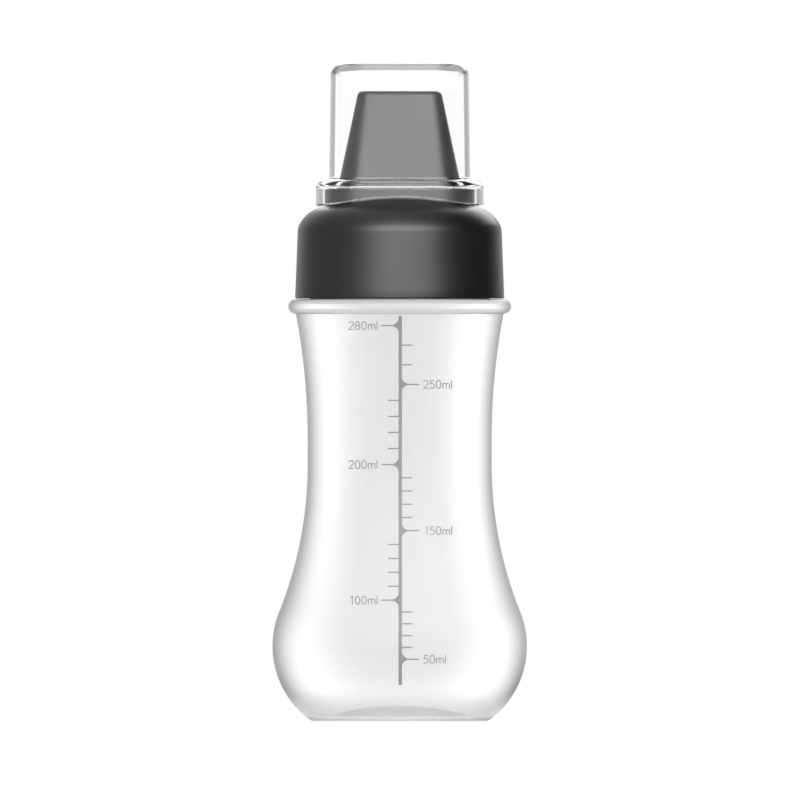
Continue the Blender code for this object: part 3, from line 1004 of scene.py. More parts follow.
@dataclass
class ScrewLid:
    """The domed collar with a slot in its top, and the nozzle whose flange it clamps on the seal."""

    collar_foot: float = 119.12 * MM
    collar_bore: float = 27.1 * MM
    collar_wall: float = 1.65 * MM
    collar_draft: float = 0.75 * MM
    collar_foot_edge: float = 0.4 * MM
    crown_round: float = 76.0 * MM
    shoulder_round: float = 9.5 * MM
    shoulder_turn: float = math.radians(70)
    brink_step: int = 4
    dome_steps: int = 10
    under_steps: int = 6
    dome_wall: float = 1.8 * MM
    dome_edge_round: float = 1.0 * MM
    land_height: float = 138.967 * MM
    land_radius: float = 23.4 * MM
    land_step: float = 0.01 * MM
    aperture_gap: float = 0.3 * MM
    aperture_edge: float = 0.35 * MM
    flange_foot: float = 137.067 * MM
    flange_thickness: float = 1.6 * MM
    flange_radius: float = 25.45 * MM
    flange_edge: float = 0.3 * MM
    spigot_radius: float = 23.1 * MM
    spigot_depth: float = 3.0 * MM
    spigot_wall: float = 0.9 * MM
    slot_straight: float = 20.0 * MM
    plinth_round: float = 11.2 * MM
    plinth_rise: float = 1.9 * MM
    plinth_wall: float = 1.8 * MM
    plinth_edge: float = 0.5 * MM
    plinth_support: float = 0.3 * MM
    nozzle_foot_round: float = 7.5 * MM
    nozzle_root_round: float = 0.6 * MM
    nozzle_tip_round: float = 3.5 * MM
    nozzle_height: float = 27.5 * MM
    nozzle_edge: float = 1.6 * MM
    nozzle_end_insets: tuple[float, ...] = (0.5 * MM, 0.1 * MM)
    nozzle_wall: float = 1.5 * MM
    nozzle_top_wall: float = 1.8 * MM
    hole_count: int = 5
    hole_pitch: float = 4.1 * MM
    hole_radius: float = 1.0 * MM
    hole_edge: float = 0.22 * MM
    hole_sides: int = 40
    plan: SlotPlan = SlotPlan(36, 20)

    @property
    def collar_radius(self) -> float:
        """Outer radius of the collar where the dome begins."""
        return self.collar_bore + self.collar_wall

    @property
    def dome_shoulder(self) -> Point:
        """Middle of the dome's rounder shoulder."""
        out, up = math.sin(self.shoulder_turn), math.cos(self.shoulder_turn)
        return self.collar_radius - self.shoulder_round * out, self.land_height - self.shoulder_round * up

    @property
    def crown_turn(self) -> float:
        """Angle that the wide crown turns through before the shoulder takes over."""
        return math.asin(self.dome_shoulder[0] / (self.crown_round - self.shoulder_round))

    @property
    def crown_centre(self) -> float:
        """Height of the middle of the crown's arc."""
        return self.dome_shoulder[1] - self.dome_shoulder[0] / math.tan(self.crown_turn)

    @property
    def plinth_top(self) -> float:
        """Height of the plinth's top, that the nozzle stands on."""
        return self.crown_centre + self.crown_round + self.plinth_rise

    @property
    def nozzle_top(self) -> float:
        """Height of the nozzle's flat end."""
        return self.plinth_top + self.nozzle_height

    def dome_height(self, distance: float, wall: float = 0.0) -> float:
        """The height of the dome's face.

        Args:
            distance: Distance from the axis.
            wall: How far inside the outer face.

        Returns:
            The height.
        """
        reach, middle = self.dome_shoulder
        shoulder, crown = self.shoulder_round - wall, self.crown_round - wall
        beyond = distance - reach
        if beyond > shoulder * math.sin(self.crown_turn):
            return middle + math.sqrt(max(0.0, shoulder**2 - beyond**2))
        return self.crown_centre + math.sqrt(crown**2 - distance**2)

    def under_dome(self, distance: float) -> float:
        """The height of the dome's inner face."""
        return self.dome_height(distance, self.dome_wall)

    def collar_rings(self) -> list[Ring]:
        """Rings of the collar, from the slot's upper edge outwards, down the outside and up the inside.

        Returns:
            The rings, of which the last joins the first.
        """
        aperture, edge = self.plinth_round + self.aperture_gap, self.aperture_edge
        mouth = self.plan.ring(aperture, self.dome_height, self.slot_straight)
        rim = self.plan.ring(aperture + edge, self.dome_height, self.slot_straight)
        edge_round = self.dome_edge_round
        end_turn = self.shoulder_turn - edge_round / self.shoulder_round
        turns = (QUARTER - self.crown_turn, QUARTER - end_turn)
        shoulder = arc(self.dome_shoulder, self.shoulder_round, *turns, steps=18)
        brink = self.plan.circle(*shoulder[self.brink_step], mouth)

        # The slot's edge is eased, and the dome goes from slot-shaped rings to round ones.
        low = [(x, y, z - edge) for x, y, z in mouth]
        eased = [(x, y, z - EASE * edge) for x, y, z in between(mouth, rim, EASE)]
        rings = [low, eased, rim]
        shares = [i / self.dome_steps for i in range(1, self.dome_steps + 1)]
        rings += [between(rim, brink, share, self.dome_height) for share in shares]
        draft = self.collar_draft / (self.land_height - self.collar_foot)
        side_top = (self.collar_radius + edge_round * draft, self.land_height - edge_round)
        outer, bore = self.collar_radius + self.collar_draft, self.collar_bore
        foot, lip = self.collar_foot, self.collar_foot_edge
        outline = [
            *shoulder[self.brink_step + 1 :],
            *bend(shoulder[-1], (self.collar_radius, self.land_height), side_top, steps=8)[1:],
            *stretch(side_top, (outer, foot + lip), steps=8)[1:],
            *bend((outer, foot + lip), (outer, foot), (outer - lip, foot), steps=5)[1:],
            *bend((bore + lip, foot), (bore, foot), (bore, foot + lip), steps=4),
            (bore, self.land_height),
            (self.land_radius, self.land_height),
        ]
        rings += [self.plan.circle(r, z, mouth) for r, z in outline]

        # Back under the dome to the slot's lower edge.
        inner_edge = self.plan.circle(self.land_radius - self.land_step, self.land_height, mouth)
        lower = self.plan.ring(aperture, self.under_dome, self.slot_straight)
        shares = [i / self.under_steps for i in range(1, self.under_steps + 1)]
        return rings + [between(inner_edge, lower, share, self.under_dome) for share in shares]

    def nozzle_step(self, height: float, inset: float = 0.0) -> tuple[float, float, float]:
        """The nozzle's section at a height.

        Args:
            height: Height above the table.
            inset: How far inside the outer face.

        Returns:
            Round of its ends, the height, and length of its straight sides.
        """
        share = (height - self.plinth_top) / self.nozzle_height
        end_round = self.nozzle_foot_round + (self.nozzle_tip_round - self.nozzle_foot_round) * share
        tip_straight = (self.hole_count - 1) * self.hole_pitch
        return end_round - inset, height, self.slot_straight + (tip_straight - self.slot_straight) * share

    def nozzle_rings(self) -> list[Ring]:
        """Rings of the nozzle insert, from its flat end down the outside, and up the inside.

        Returns:
            The rings, with a flat cap to come on the first and on the last.
        """
        slot, top, foot = self.slot_straight, self.nozzle_top, self.plinth_top
        tip = self.nozzle_tip_round - self.nozzle_edge
        edge_foot = self.nozzle_step(top - self.nozzle_edge)
        edge = bend(edge_foot[:2], (self.nozzle_tip_round, top), (tip, top), steps=9)
        root_round, root = self.nozzle_root_round, self.nozzle_step(foot + self.nozzle_root_round)
        spread = self.nozzle_foot_round + root_round
        skirt = bend(root[:2], (self.nozzle_foot_round, foot), (spread, foot), steps=5)
        plinth, ledge = self.plinth_round, self.plinth_round - self.plinth_edge
        corner = bend((ledge, foot), (plinth, foot), (plinth, foot - self.plinth_edge), steps=5)
        flange_top = self.flange_foot + self.flange_thickness
        end = [(tip - inset, top) for inset in self.nozzle_end_insets]
        outside = [
            *((r, z, edge_foot[2]) for r, z in [*end, *reversed(edge)]),
            *stretch(edge_foot, root, steps=10)[1:],
            *((r, z, root[2]) for r, z in skirt[1:]),
            *((r, z, slot) for r, z in [(ledge - self.plinth_support, foot), *corner, (plinth, flange_top)]),
        ]
        rings = [self.plan.ring(*step) for step in outside]

        base, spigot, soft = self.flange_foot, self.spigot_radius, self.flange_edge
        spigot_foot, spigot_bore = base - self.spigot_depth, spigot - self.spigot_wall
        flange = [
            (self.flange_radius - soft, flange_top),
            (self.flange_radius, flange_top - soft),
            (self.flange_radius, base),
            (spigot, base),
            (spigot, spigot_foot + soft),
            (spigot - soft, spigot_foot),
            (spigot_bore, spigot_foot),
            (spigot_bore, base),
        ]
        rings += [self.plan.circle(r, z, rings[-1]) for r, z in flange]
        hollow, ceiling = plinth - self.plinth_wall, foot - self.plinth_wall
        inner_foot = self.nozzle_step(foot, self.nozzle_wall)
        inner_top = self.nozzle_step(top - self.nozzle_top_wall, self.nozzle_wall)
        inside = [(hollow, base, slot), (hollow, ceiling, slot), self.nozzle_step(ceiling, self.nozzle_wall)]
        inside += stretch(inner_foot, inner_top, steps=6)
        return rings + [self.plan.ring(*step) for step in inside]

    def pierce(self, blank: Object, material: Material) -> Object:
        """Cuts the row of outlets, each with an eased rim, into the nozzle's end.

        Args:
            blank: The nozzle without holes, which is removed.
            material: Its finish.

        Returns:
            The finished nozzle.
        """
        sizes = {
            "Hole Count": self.hole_count,
            "Hole Sides": self.hole_sides,
            "Hole Pitch": self.hole_pitch,
            "Hole Radius": self.hole_radius,
            "Hole Edge": self.hole_edge,
            "Top Height": self.nozzle_top,
            "Top Wall": self.nozzle_top_wall,
        }
        shape = ShapeTree("outlet row", sizes)
        book = shape.book
        count, sides, pitch, radius, eased, top, wall = (shape.given(label) for label in sizes)
        first = book.vector(pitch * (count - 1) * -0.5, 0.0, top)
        inputs = {"Count": count, "Start Location": first, "Offset": book.vector(pitch, 0.0, 0.0)}
        line = book.node("GeometryNodeMeshLine", inputs, mode="OFFSET")
        inputs = {"Vertices": sides, "Radius": radius, "Depth": wall * 3}
        drill = book.node("GeometryNodeMeshCylinder", inputs)

        # The cone reaches as far over the face as under it, so that it is the eased rim's size at the face.
        deep = eased * 2
        inputs = {"Vertices": sides, "Radius Top": radius + deep, "Radius Bottom": radius, "Depth": deep}
        sink = book.node("GeometryNodeMeshCone", inputs)
        inputs = {"Geometry": sink, "Translation": book.vector(0.0, 0.0, eased * -1)}
        carved: Any = shape.given()
        for tool in (drill, book.node("GeometryNodeTransform", inputs)):
            row = book.node("GeometryNodeInstanceOnPoints", {"Points": line, "Instance": tool})
            inputs = {"Mesh 1": carved, "Mesh 2": row}
            carved = book.node("GeometryNodeMeshBoolean", inputs, operation="DIFFERENCE", solver="EXACT")
        shape.end(carved)
        return shape.apply("spout_nozzle", blank, {"Material": material})

    def build(self, turner: TurnedShape, thread: ScrewThread, finishes: Finishes) -> list[Object]:
        """Makes the collar, its ridge and the nozzle.

        Args:
            turner: The tree that turns outlines.
            thread: Sizes of the screw thread.
            finishes: The bottle's materials.

        Returns:
            The collar, the ridge and the nozzle.
        """
        collar = loft("domed_collar", self.collar_rings(), closed=True)
        collar.data.materials.append(finishes.charcoal)
        ridge = turner.ridge("collar_thread", thread, ThreadSide.COLLAR, finishes.charcoal)
        nozzle = self.pierce(loft("nozzle_blank", self.nozzle_rings()), finishes.charcoal)
        for piece in (collar, ridge, nozzle):
            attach(piece, "lid")
        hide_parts("screw_collar")
        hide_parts("nozzle_insert")
        return [collar, ridge, nozzle]


# The dust cover


@dataclass
class DustCover:
    """The clear cover: a box over the nozzle, a brim, and a skirt whose lower edge follows the dome."""

    skirt_clearance: float = 0.6 * MM
    skirt_wall: float = 1.9 * MM
    skirt_dome_gap: float = 0.5 * MM
    skirt_foot_edge: float = 0.14 * MM
    brim_thickness: float = 2.0 * MM
    brim_gap: float = 0.4 * MM
    brim_edge: float = 2.4 * MM
    brim_inner_edge: float = 0.6 * MM
    mouth_edge: float = 0.2 * MM
    nozzle_gap: float = 0.9 * MM
    wall: float = 1.5 * MM
    top_wall: float = 1.85 * MM
    headroom: float = 6.1 * MM
    draft: float = 0.4 * MM
    edge: float = 3.8 * MM
    edge_steps: int = 14
    root_round: float = 0.6 * MM
    margin: float = 0.3 * MM
    support: float = 0.12 * MM
    even_shade: float = 0.475
    even_start: float = math.radians(22)
    hem_density: float = 1.6
    plan: SlotPlan = SlotPlan(48, 32)

    def even_density(self, turn: float) -> float:
        """The density at which an edge turned up from upright looks as grey as at any other angle."""
        return self.even_shade / (1 - math.cos(turn)) if turn > self.even_start else 1.0

    def runs(self, lid: ScrewLid) -> list[tuple[Sequence[tuple[float, Height]], float]]:
        """The cover's sections, as round of the ends and height, down the outside and up the inside.

        Args:
            lid: The lid that it stands over.

        Returns:
            Runs of sections, each with how densely its faces show when they are seen edge-on.
        """
        underside = lid.plinth_top + self.brim_gap
        brim_top = underside + self.brim_thickness
        skirt_inner = lid.plinth_round + self.skirt_clearance
        skirt = skirt_inner + self.skirt_wall
        inner = lid.nozzle_foot_round + self.nozzle_gap
        ceiling = lid.nozzle_top + self.headroom
        top = ceiling + self.top_wall
        outer_top, outer_root = inner + self.wall - self.draft, inner + self.wall
        inner_edge, brim_inner = self.edge - self.wall, self.brim_inner_edge
        soft, margin, support, mouth = self.skirt_foot_edge, self.margin, self.support, self.mouth_edge

        def hem(lift: float) -> Callable[[float], float]:
            """The height of the skirt's lower edge, raised by lift, as a function of distance."""
            return lambda distance: lid.dome_height(distance) + self.skirt_dome_gap + lift

        steps = self.edge_steps
        top_edge = arc((outer_top - self.edge, top - self.edge), self.edge, QUARTER, 0.0, steps)
        box_foot = (outer_root, brim_top + self.root_round + margin)
        root_top = (outer_root, brim_top + self.root_round)
        brim_centre = (skirt - self.brim_edge, brim_top - self.brim_edge)
        foot = [
            (skirt, hem(soft)),
            (skirt - EASE * soft, hem(EASE * soft)),
            (skirt - soft, hem(0.0)),
            (skirt_inner + soft, hem(0.0)),
            (skirt_inner + EASE * soft, hem(EASE * soft)),
            (skirt_inner, hem(soft)),
        ]
        side_top = (inner - self.draft, ceiling - inner_edge - margin)
        inside = [
            (skirt_inner, hem(soft + support)),
            (skirt_inner, underside - brim_inner - support),
            *arc((skirt_inner - brim_inner, underside - brim_inner), brim_inner, 0.0, QUARTER, steps=6),
            (skirt_inner - brim_inner - support, underside),
            (inner + mouth + support, underside),
            (inner + mouth, underside),
            (inner + EASE * mouth, underside + EASE * mouth),
            (inner, underside + mouth),
            *stretch((inner, underside + margin), side_top, steps=8),
            *arc((inner - self.draft - inner_edge, ceiling - inner_edge), inner_edge, 0.0, QUARTER, steps=10),
            (inner - self.draft - inner_edge - margin, ceiling),
        ]
        return [
            ([(outer_top - self.edge - margin, top)], self.even_shade),
            *(([step], self.even_density(QUARTER * (1 - i / steps))) for i, step in enumerate(top_edge)),
            (stretch((outer_top, top - self.edge - margin), box_foot, steps=8), 1.0),
            (bend(root_top, (outer_root, brim_top), (outer_root + self.root_round, brim_top), steps=8), 0.0),
            (arc(brim_centre, self.brim_edge, QUARTER, 0.0, steps=14), 0.0),
            ([(skirt, brim_centre[1] - support), (skirt, hem(soft + support))], 1.0),
            (foot, self.hem_density),
            (inside, 0.0),
        ]

    def build(self, lid: ScrewLid, finishes: Finishes) -> list[Object]:
        """Makes the cover.

        Args:
            lid: The lid that it stands over.
            finishes: The bottle's materials.

        Returns:
            The cover.
        """
        runs = self.runs(lid)
        rings = [self.plan.ring(*step, lid.slot_straight) for run, _ in runs for step in run]
        cover = loft("clear_cover", rings, densities=[density for run, density in runs for _ in run])
        cover.data.materials.append(finishes.clear)
        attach(cover, "cover")
        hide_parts("dust_cover")
        return [cover]


# The printed scale


@dataclass(frozen=True)
class Mark:
    """A long mark of the scale.

    Attributes:
        volume: The number printed at it, in millilitres.
        height: Its height above the table.
        side: -1 if it points left as the camera sees it, 1 if it points right.
    """

    volume: int
    height: float
    side: int


@dataclass
class PrintedScale:
    """The scale on the front: a bar, marks with curved roots, short marks between them, and numbers."""

    middle: float = 0.15 * MM
    bar_width: float = 0.93 * MM
    bar_top: float = 114.2 * MM
    bar_foot: float = 10.15 * MM
    bar_steps: int = 220
    line_width: float = 0.34 * MM
    long_reach: float = 4.85 * MM
    short_reach: float = 2.97 * MM
    root_height: float = 2.0 * MM
    root_reach: float = 2.8 * MM
    root_steps: int = 12
    letter_height: float = 2.35 * MM
    letter_stroke: float = 0.23 * MM
    letter_gap: float = 1.2 * MM
    letter_spread: float = 1.045
    letter_margin: float = 0.06
    lift: float = 0.04 * MM
    ray_start: float = -0.2
    step: int = 10
    marks: tuple[Mark, ...] = (
        Mark(280, 111.5 * MM, -1),
        Mark(250, 94.9 * MM, 1),
        Mark(200, 72.3 * MM, -1),
        Mark(150, 53.65 * MM, 1),
        Mark(100, 34.05 * MM, -1),
        Mark(50, 17.4 * MM, 1),
    )

    def band(self, work: bmesh.types.BMesh, left: Sequence[Point], right: Sequence[Point]) -> None:
        """Adds a flat band between two lines of as many points each.

        Args:
            work: The mesh, flat in the XZ plane.
            left: The (x, z) points of one side.
            right: The points of the other.
        """
        loops = [[work.verts.new((x, 0.0, z)) for x, z in pair] for pair in zip(left, right)]
        for (a, b), (c, d) in zip(loops, loops[1:]):
            work.faces.new((a, b, d, c))

    def stroke(self, work: bmesh.types.BMesh, points: Sequence[Point]) -> None:
        """Adds a flat stroke of a letter along a line of points, with rounded ends.

        Args:
            work: The mesh, flat in the XZ plane.
            points: The (x, z) points of the line.
        """
        path = [Vector(p) for p in points]
        sides: list[tuple[Vector, Vector]] = []
        for i, point in enumerate(path):
            before = (point - path[i - 1]).normalized() if i else (path[1] - point).normalized()
            after = (path[i + 1] - point).normalized() if i + 1 < len(path) else before
            along = (before + after).normalized()
            across = Vector((-along.y, along.x)) * (self.letter_stroke / 2 / max(0.5, along.dot(before)))
            tip = along * (self.letter_stroke / 3)
            if i == 0:
                sides.append((point - tip + across * 0.5, point - tip - across * 0.5))
            sides.append((point + across, point - across))
        sides.append((point + tip + across * 0.5, point + tip - across * 0.5))
        self.band(work, *zip(*sides))

    def glyph(self, letter: str) -> tuple[list[list[Point]], float]:
        """The strokes of a numeral or letter, in units of the letter height.

        Args:
            letter: One of 0, 1, 2, 5, 8, m and l.

        Returns:
            The lines of its strokes, and its width with the gap after it.
        """
        turns = [i * math.pi / 14 for i in range(29)]
        oval = [(0.3 + 0.26 * math.cos(turn), 0.5 + 0.48 * math.sin(turn)) for turn in turns]
        hook = arc((0.28, 0.71), 0.26, math.pi - 0.35, -0.55, steps=12)
        bowl = arc((0.26, 0.32), 0.29, 2.15, -2.35, steps=14)
        upper = arc((0.29, 0.74), 0.22, -QUARTER, 3 * QUARTER, steps=16)
        lower = arc((0.29, 0.27), 0.26, QUARTER, 5 * QUARTER, steps=18)
        arches = [
            [(left, 0.36), *arc((left + 0.19, 0.45), 0.19, math.pi, 0.0, steps=10), (left + 0.38, 0.02)]
            for left in (0.06, 0.44)
        ]
        glyphs = {
            "0": ([oval], 0.74),
            "1": ([[(0.24, 0.8), (0.42, 0.97), (0.42, 0.02)]], 0.72),
            "2": ([[*hook, (0.03, 0.03), (0.56, 0.03)]], 0.72),
            "5": ([[(0.5, 0.96), (0.14, 0.96), *bowl]], 0.72),
            "8": ([upper, lower], 0.74),
            "m": ([[(0.06, 0.02), (0.06, 0.62)], *arches], 1.0),
            "l": ([[(0.06, 0.02), (0.06, 0.99)]], 0.12),
        }
        return glyphs[letter]

    def label(self, work: bmesh.types.BMesh, mark: Mark) -> None:
        """Adds the number of a long mark, beyond its end.

        Args:
            work: The mesh, flat in the XZ plane.
            mark: The mark.
        """
        glyphs = [self.glyph(letter) for letter in f"{mark.volume}ml"]
        size, spread = self.letter_height, self.letter_spread
        width = sum(advance for _, advance in glyphs) * size * spread
        reach = self.bar_width / 2 + self.long_reach + self.letter_gap
        x = self.middle + (reach if mark.side > 0 else -reach - width + self.letter_margin * size)
        for lines, advance in glyphs:
            for line in lines:
                points = [(x + px * size * spread, mark.height + (pz - 0.5) * size) for px, pz in line]
                self.stroke(work, points)
            x += advance * size * spread

    def artwork(self) -> Object:
        """The bar, the long marks with their roots, and the numbers.

        Returns:
            The artwork, flat in the XZ plane.
        """
        work = bmesh.new()
        half, thin = self.bar_width / 2, self.line_width / 2
        heights = stretch((self.bar_foot,), (self.bar_top,), self.bar_steps)
        self.band(work, *([(self.middle + side, z) for (z,) in heights] for side in (-half, half)))
        for mark in self.marks:
            edge = self.middle + mark.side * half
            rises = []
            for i in range(self.root_steps + 1):
                turn = QUARTER * i / self.root_steps
                rise = max(thin, self.root_height * (1 - math.sin(turn)))
                rises.append((edge + mark.side * self.root_reach * (1 - math.cos(turn)), rise))
            arm = stretch(rises[-1][:1], (edge + mark.side * self.long_reach,), steps=8)
            rises += [(x, thin) for (x,) in arm[1:]]
            upper = [(x, min(self.bar_top, mark.height + rise)) for x, rise in rises]
            self.band(work, upper, [(x, mark.height - rise) for x, rise in rises])
            self.label(work, mark)
        return plain_object("scale_artwork", work, solid=False)

    def short_marks(self) -> Ring:
        """The short marks, evenly spaced between the long ones.

        Returns:
            A point for each, whose X is its side and Z its height.
        """
        found = []
        for upper, lower in zip(self.marks, self.marks[1:]):
            count = (upper.volume - lower.volume) // self.step
            fall = lower.height - upper.height
            found += [(lower.side, 0.0, upper.height + fall * i / count) for i in range(1, count)]
        return found

    def build(self, shell: Object, finishes: Finishes) -> list[Object]:
        """Makes the print, laid on the body's wall.

        Args:
            shell: The body that carries it.
            finishes: The bottle's materials.

        Returns:
            The print.
        """
        sizes = {
            "Middle": self.middle,
            "Bar Width": self.bar_width,
            "Line Width": self.line_width,
            "Reach": self.short_reach,
            "Lift": self.lift,
        }
        shape = ShapeTree("printed scale", sizes, ("Mark Places", "Wall"))
        book = shape.book
        middle, bar, line, reach, lift = (shape.given(label) for label in sizes)
        spots, wall = (
            book.node("GeometryNodeObjectInfo", {"Object": shape.given(label)}).outputs["Geometry"]
            for label in ("Mark Places", "Wall")
        )

        # One short mark, copied to each place and laid to the left or right of the bar.
        grid = {"Size X": reach, "Size Y": line, "Vertices X": 8, "Vertices Y": 2}
        mark = book.node("GeometryNodeMeshGrid", grid)
        upright = book.node("GeometryNodeTransform", {"Geometry": mark, "Rotation": (QUARTER, 0.0, 0.0)})
        x, _, z = book.axes(book.node("GeometryNodeInputPosition"))
        beside = book.vector(middle + x * (bar * 0.5 + reach * 0.5), 0.0, z)
        row = book.node("GeometryNodeSetPosition", {"Geometry": spots, "Position": beside})
        row = book.node("GeometryNodeInstanceOnPoints", {"Points": row, "Instance": upright})
        real = book.node("GeometryNodeRealizeInstances", {0: row})
        joined = book.node("GeometryNodeJoinGeometry", {0: shape.given()})
        book.feed(joined, {0: real})

        # The flat print is carried straight back on the wall, and lies a hair's breadth over it.
        inputs = {
            "Target Geometry": wall,
            "Source Position": book.vector(x, self.ray_start, z),
            "Ray Direction": (0.0, 1.0, 0.0),
            "Ray Length": 1.0,
        }
        ray = book.node("GeometryNodeRaycast", inputs)
        inputs = {0: ray.outputs["Hit Normal"], "Scale": lift}
        clear = book.node("ShaderNodeVectorMath", inputs, operation="SCALE")
        laid = book.node("ShaderNodeVectorMath", {0: ray.outputs["Hit Position"], 1: clear}, operation="ADD")
        shape.end(book.node("GeometryNodeSetPosition", {"Geometry": joined, "Position": laid}))
        places = chain_object("short_mark_places", self.short_marks())
        values = {"Mark Places": places, "Wall": shell, "Material": finishes.ink}
        made = shape.apply("scale_print", self.artwork(), values, solid=False)
        bpy.data.objects.remove(places)
        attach(made, "bottle")
        return [made]


# The studio


@dataclass(frozen=True)
class Lamp:
    """A soft lamp aimed at the bottle.

    Attributes:
        name: Name of the lamp.
        place: Where it hangs.
        size: Width and height of its face.
        radiance: How bright its face is, where white paper in full light is 1.
        fill: Whether it lights matt surfaces. Gloss mirrors it otherwise.
        through_glass: Whether it shines through the clear cover.
    """

    name: str
    place: tuple[float, float, float]
    size: tuple[float, float]
    radiance: float
    fill: bool = False
    through_glass: bool = False


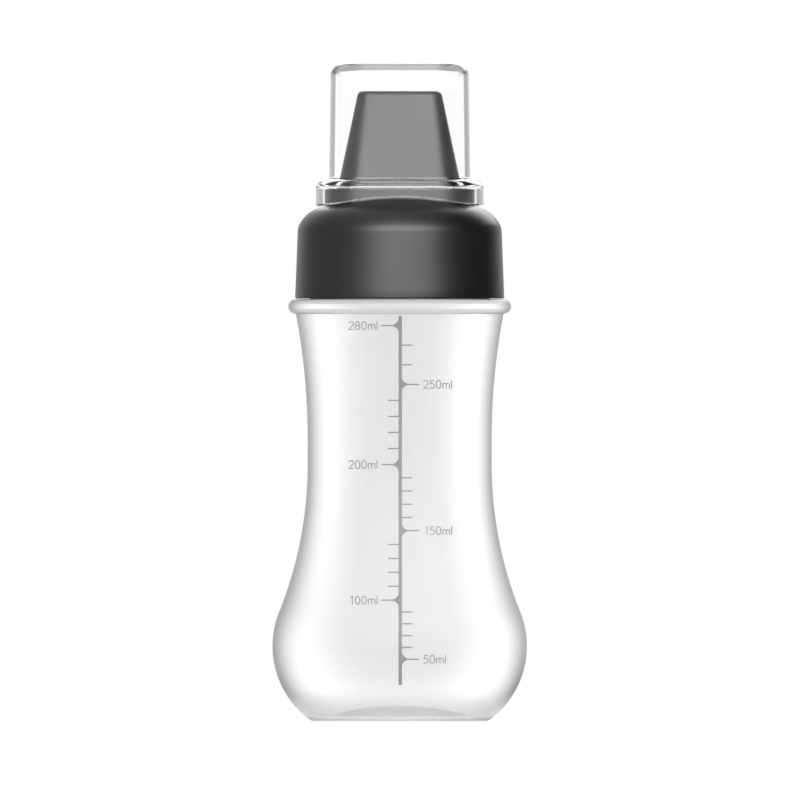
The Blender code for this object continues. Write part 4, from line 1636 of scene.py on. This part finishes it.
@dataclass
class Studio:
    """A pale floor, a white surround, soft lamps and the camera of the photograph.

    A ramp holds where it starts and ends, and its values there.
    """

    pixel: float = 0.282 * MM
    picture: int = 800
    middle_x: float = 0.085 * MM
    middle_z: float = 90.5 * MM
    camera_distance: float = 1.0
    camera_reach: float = 10.0
    floor_radius: float = 2.4
    floor_drop: float = 0.2 * MM
    floor_glow: float = 0.45
    floor_white: float = 0.93
    floor_seen: float = 0.57
    aim: tuple[float, float, float] = (0.0, 0.0, 0.095)
    surround: float = 0.97
    backdrop_ramp: tuple[float, ...] = (0.55, 0.95)
    left_ramp: tuple[float, ...] = (-0.7, -0.1, 0.36, 0.62)
    right_ramp: tuple[float, ...] = (0.05, 0.6, 1.0, 0.0)
    ceiling_ramp: tuple[float, ...] = (0.25, 0.55, 1.1, 0.95)
    lamps: tuple[Lamp, ...] = (
        Lamp("front_softbox", (0.21, -2.9, 1.25), (4.8, 2.0), 5.2, through_glass=True),
        Lamp("front_topbox", (0.1, -1.5, 2.0), (2.6, 0.9), 1.9),
        Lamp("back_softbox", (0.3, 1.4, 0.75), (1.3, 0.4), 3.8),
        Lamp("left_fill", (-0.9, 0.1, 0.3), (0.6, 0.6), 0.6, fill=True),
        Lamp("right_fill", (0.9, 0.1, 0.3), (0.6, 0.6), 1.9, fill=True),
    )

    def camera(self) -> None:
        """Makes the level camera that looks along +Y, and sets it as the scene's."""
        data = bpy.data.cameras.new("camera")
        data.type = "ORTHO"
        data.ortho_scale = self.picture * self.pixel
        data.clip_end = self.camera_reach
        made = placed("camera", data)
        made.location = (self.middle_x, -self.camera_distance, self.middle_z)
        made.rotation_euler = (QUARTER, 0.0, 0.0)
        bpy.context.scene.camera = made

    def rays(self, book: NodeBook) -> list[Wire]:
        """Masks of the rays that a surface tells apart.

        Args:
            book: The nodes of its material, or of the world.

        Returns:
            Masks of the rays from the camera, through something clear, and off gloss.
        """
        paths = book.node("ShaderNodeLightPath")
        kinds = ("Camera", "Transmission", "Glossy")
        camera, glass, gloss = (book.wire(paths, f"Is {kind} Ray") for kind in kinds)
        return [camera, glass, gloss * (1 - camera.most(glass))]

    def room(self, x: Wire, y: Wire) -> Wire:
        """What gloss mirrors: a white backdrop, and a room that is dim to the left and dark to the right.

        Args:
            x: Sideways part of the direction that gloss looks in.
            y: Its part away from the camera.

        Returns:
            The room's brightness.
        """
        backdrop = y.ramp(*self.backdrop_ramp)
        return backdrop + (1 - backdrop) * x.ramp(*self.left_ramp) * x.ramp(*self.right_ramp)

    def world(self) -> None:
        """Sets the surround: white where the camera or glass looks, and plain soft light on matt surfaces."""
        world = bpy.data.worlds.new("surround")
        world.use_nodes = True
        bpy.context.scene.world = world
        book = NodeBook(world.node_tree)
        camera, glass, gloss = self.rays(book)
        x, y, z = book.axes(book.node("ShaderNodeTexCoord").outputs["Generated"])

        # What clear pieces bend up to the ceiling is grey.
        seen = camera + glass * z.ramp(*self.ceiling_ramp) + gloss * self.room(x, y)
        strength = seen + (1 - camera.most(glass)) * (1 - gloss) * self.surround
        world.cycles.sampling_method = "NONE"
        book.feed(world.node_tree.nodes["Background"], {"Color": (1.0, 1.0, 1.0, 1.0), "Strength": strength})

    def floor(self) -> None:
        """Makes the pale floor, a thin round sheet that the bottle stands on."""
        work = bmesh.new()
        bmesh.ops.create_circle(work, cap_ends=True, segments=96, radius=self.floor_radius)
        made = plain_object("floor", work, solid=False)
        made.location = (0.0, 0.0, -self.floor_drop)
        material = bpy.data.materials.new("pale_floor")
        material.use_nodes = True
        book = NodeBook(material.node_tree)
        camera, glass, gloss = self.rays(book)
        place = book.node("ShaderNodeNewGeometry").outputs["Position"]
        x, y, _ = book.axes(book.node("ShaderNodeVectorMath", {0: place}, operation="NORMALIZE"))

        # What is seen of it is just white, and the light that it gives back stays that of white paper.
        paper, shown = ((level, level, level, 1.0) for level in (self.floor_white, self.floor_seen))
        matt = book.node("ShaderNodeBsdfDiffuse", {"Color": book.mix(camera.most(glass), paper, shown)})
        glow = book.node("ShaderNodeEmission", {"Strength": self.floor_glow})
        pale = book.node("ShaderNodeAddShader", {0: matt, 1: glow})
        mirrored = book.node("ShaderNodeEmission", {"Strength": self.room(x, y)})
        both = book.node("ShaderNodeMixShader", {0: gloss, 1: pale, 2: mirrored})
        book.feed(material.node_tree.nodes["Material Output"], {"Surface": both})
        made.data.materials.append(material)

    def hang(self, lamp: Lamp) -> None:
        """Makes a lamp and turns it to the bottle.

        Args:
            lamp: Its sizes and brightness.
        """
        data = bpy.data.lights.new(lamp.name, "AREA")
        data.shape = "RECTANGLE"
        data.size, data.size_y = lamp.size
        data.energy = lamp.radiance * math.pi * lamp.size[0] * lamp.size[1]
        made = placed(lamp.name, data)
        made.location = lamp.place
        made.rotation_euler = (Vector(self.aim) - Vector(lamp.place)).to_track_quat("-Z", "Y").to_euler()
        made.visible_camera = False
        made.visible_transmission = lamp.through_glass
        made.visible_glossy = not lamp.fill
        made.visible_diffuse = lamp.fill

    def build(self) -> None:
        """Makes the whole studio."""
        self.camera()
        self.world()
        self.floor()
        for lamp in self.lamps:
            self.hang(lamp)
        bpy.context.scene.view_settings.view_transform = "Standard"


def report(pieces: Sequence[Object]) -> None:
    """Logs each finished piece with its size.

    Args:
        pieces: The pieces.
    """
    for piece in pieces:
        size = ", ".join(f"{side / MM:.1f}" for side in piece.dimensions)
        log.info("%s: %s mm, %d faces", piece.name, size, len(piece.data.polygons))


def main() -> None:
    """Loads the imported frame, builds every sub-assembly on it, and sets up the studio."""
    logging.basicConfig(level=logging.INFO, format="%(name)s: %(message)s")
    for old in list(bpy.data.objects):
        bpy.data.objects.remove(old)
    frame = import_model()

    finishes = Finishes()
    turner = TurnedShape()
    thread = ScrewThread()
    body = BottleBody().build(turner, thread, finishes)
    report(body)
    report(PrintedScale().build(body[0], finishes))
    lid = ScrewLid()
    report(lid.build(turner, thread, finishes))
    report(DustCover().build(lid, finishes))
    seal = frame["nodes"]["sealing_ring"]
    seal.data.materials.clear()
    seal.data.materials.append(finishes.silicone)
    report([seal])

    Studio().build()


if __name__ == "__main__":
    main()
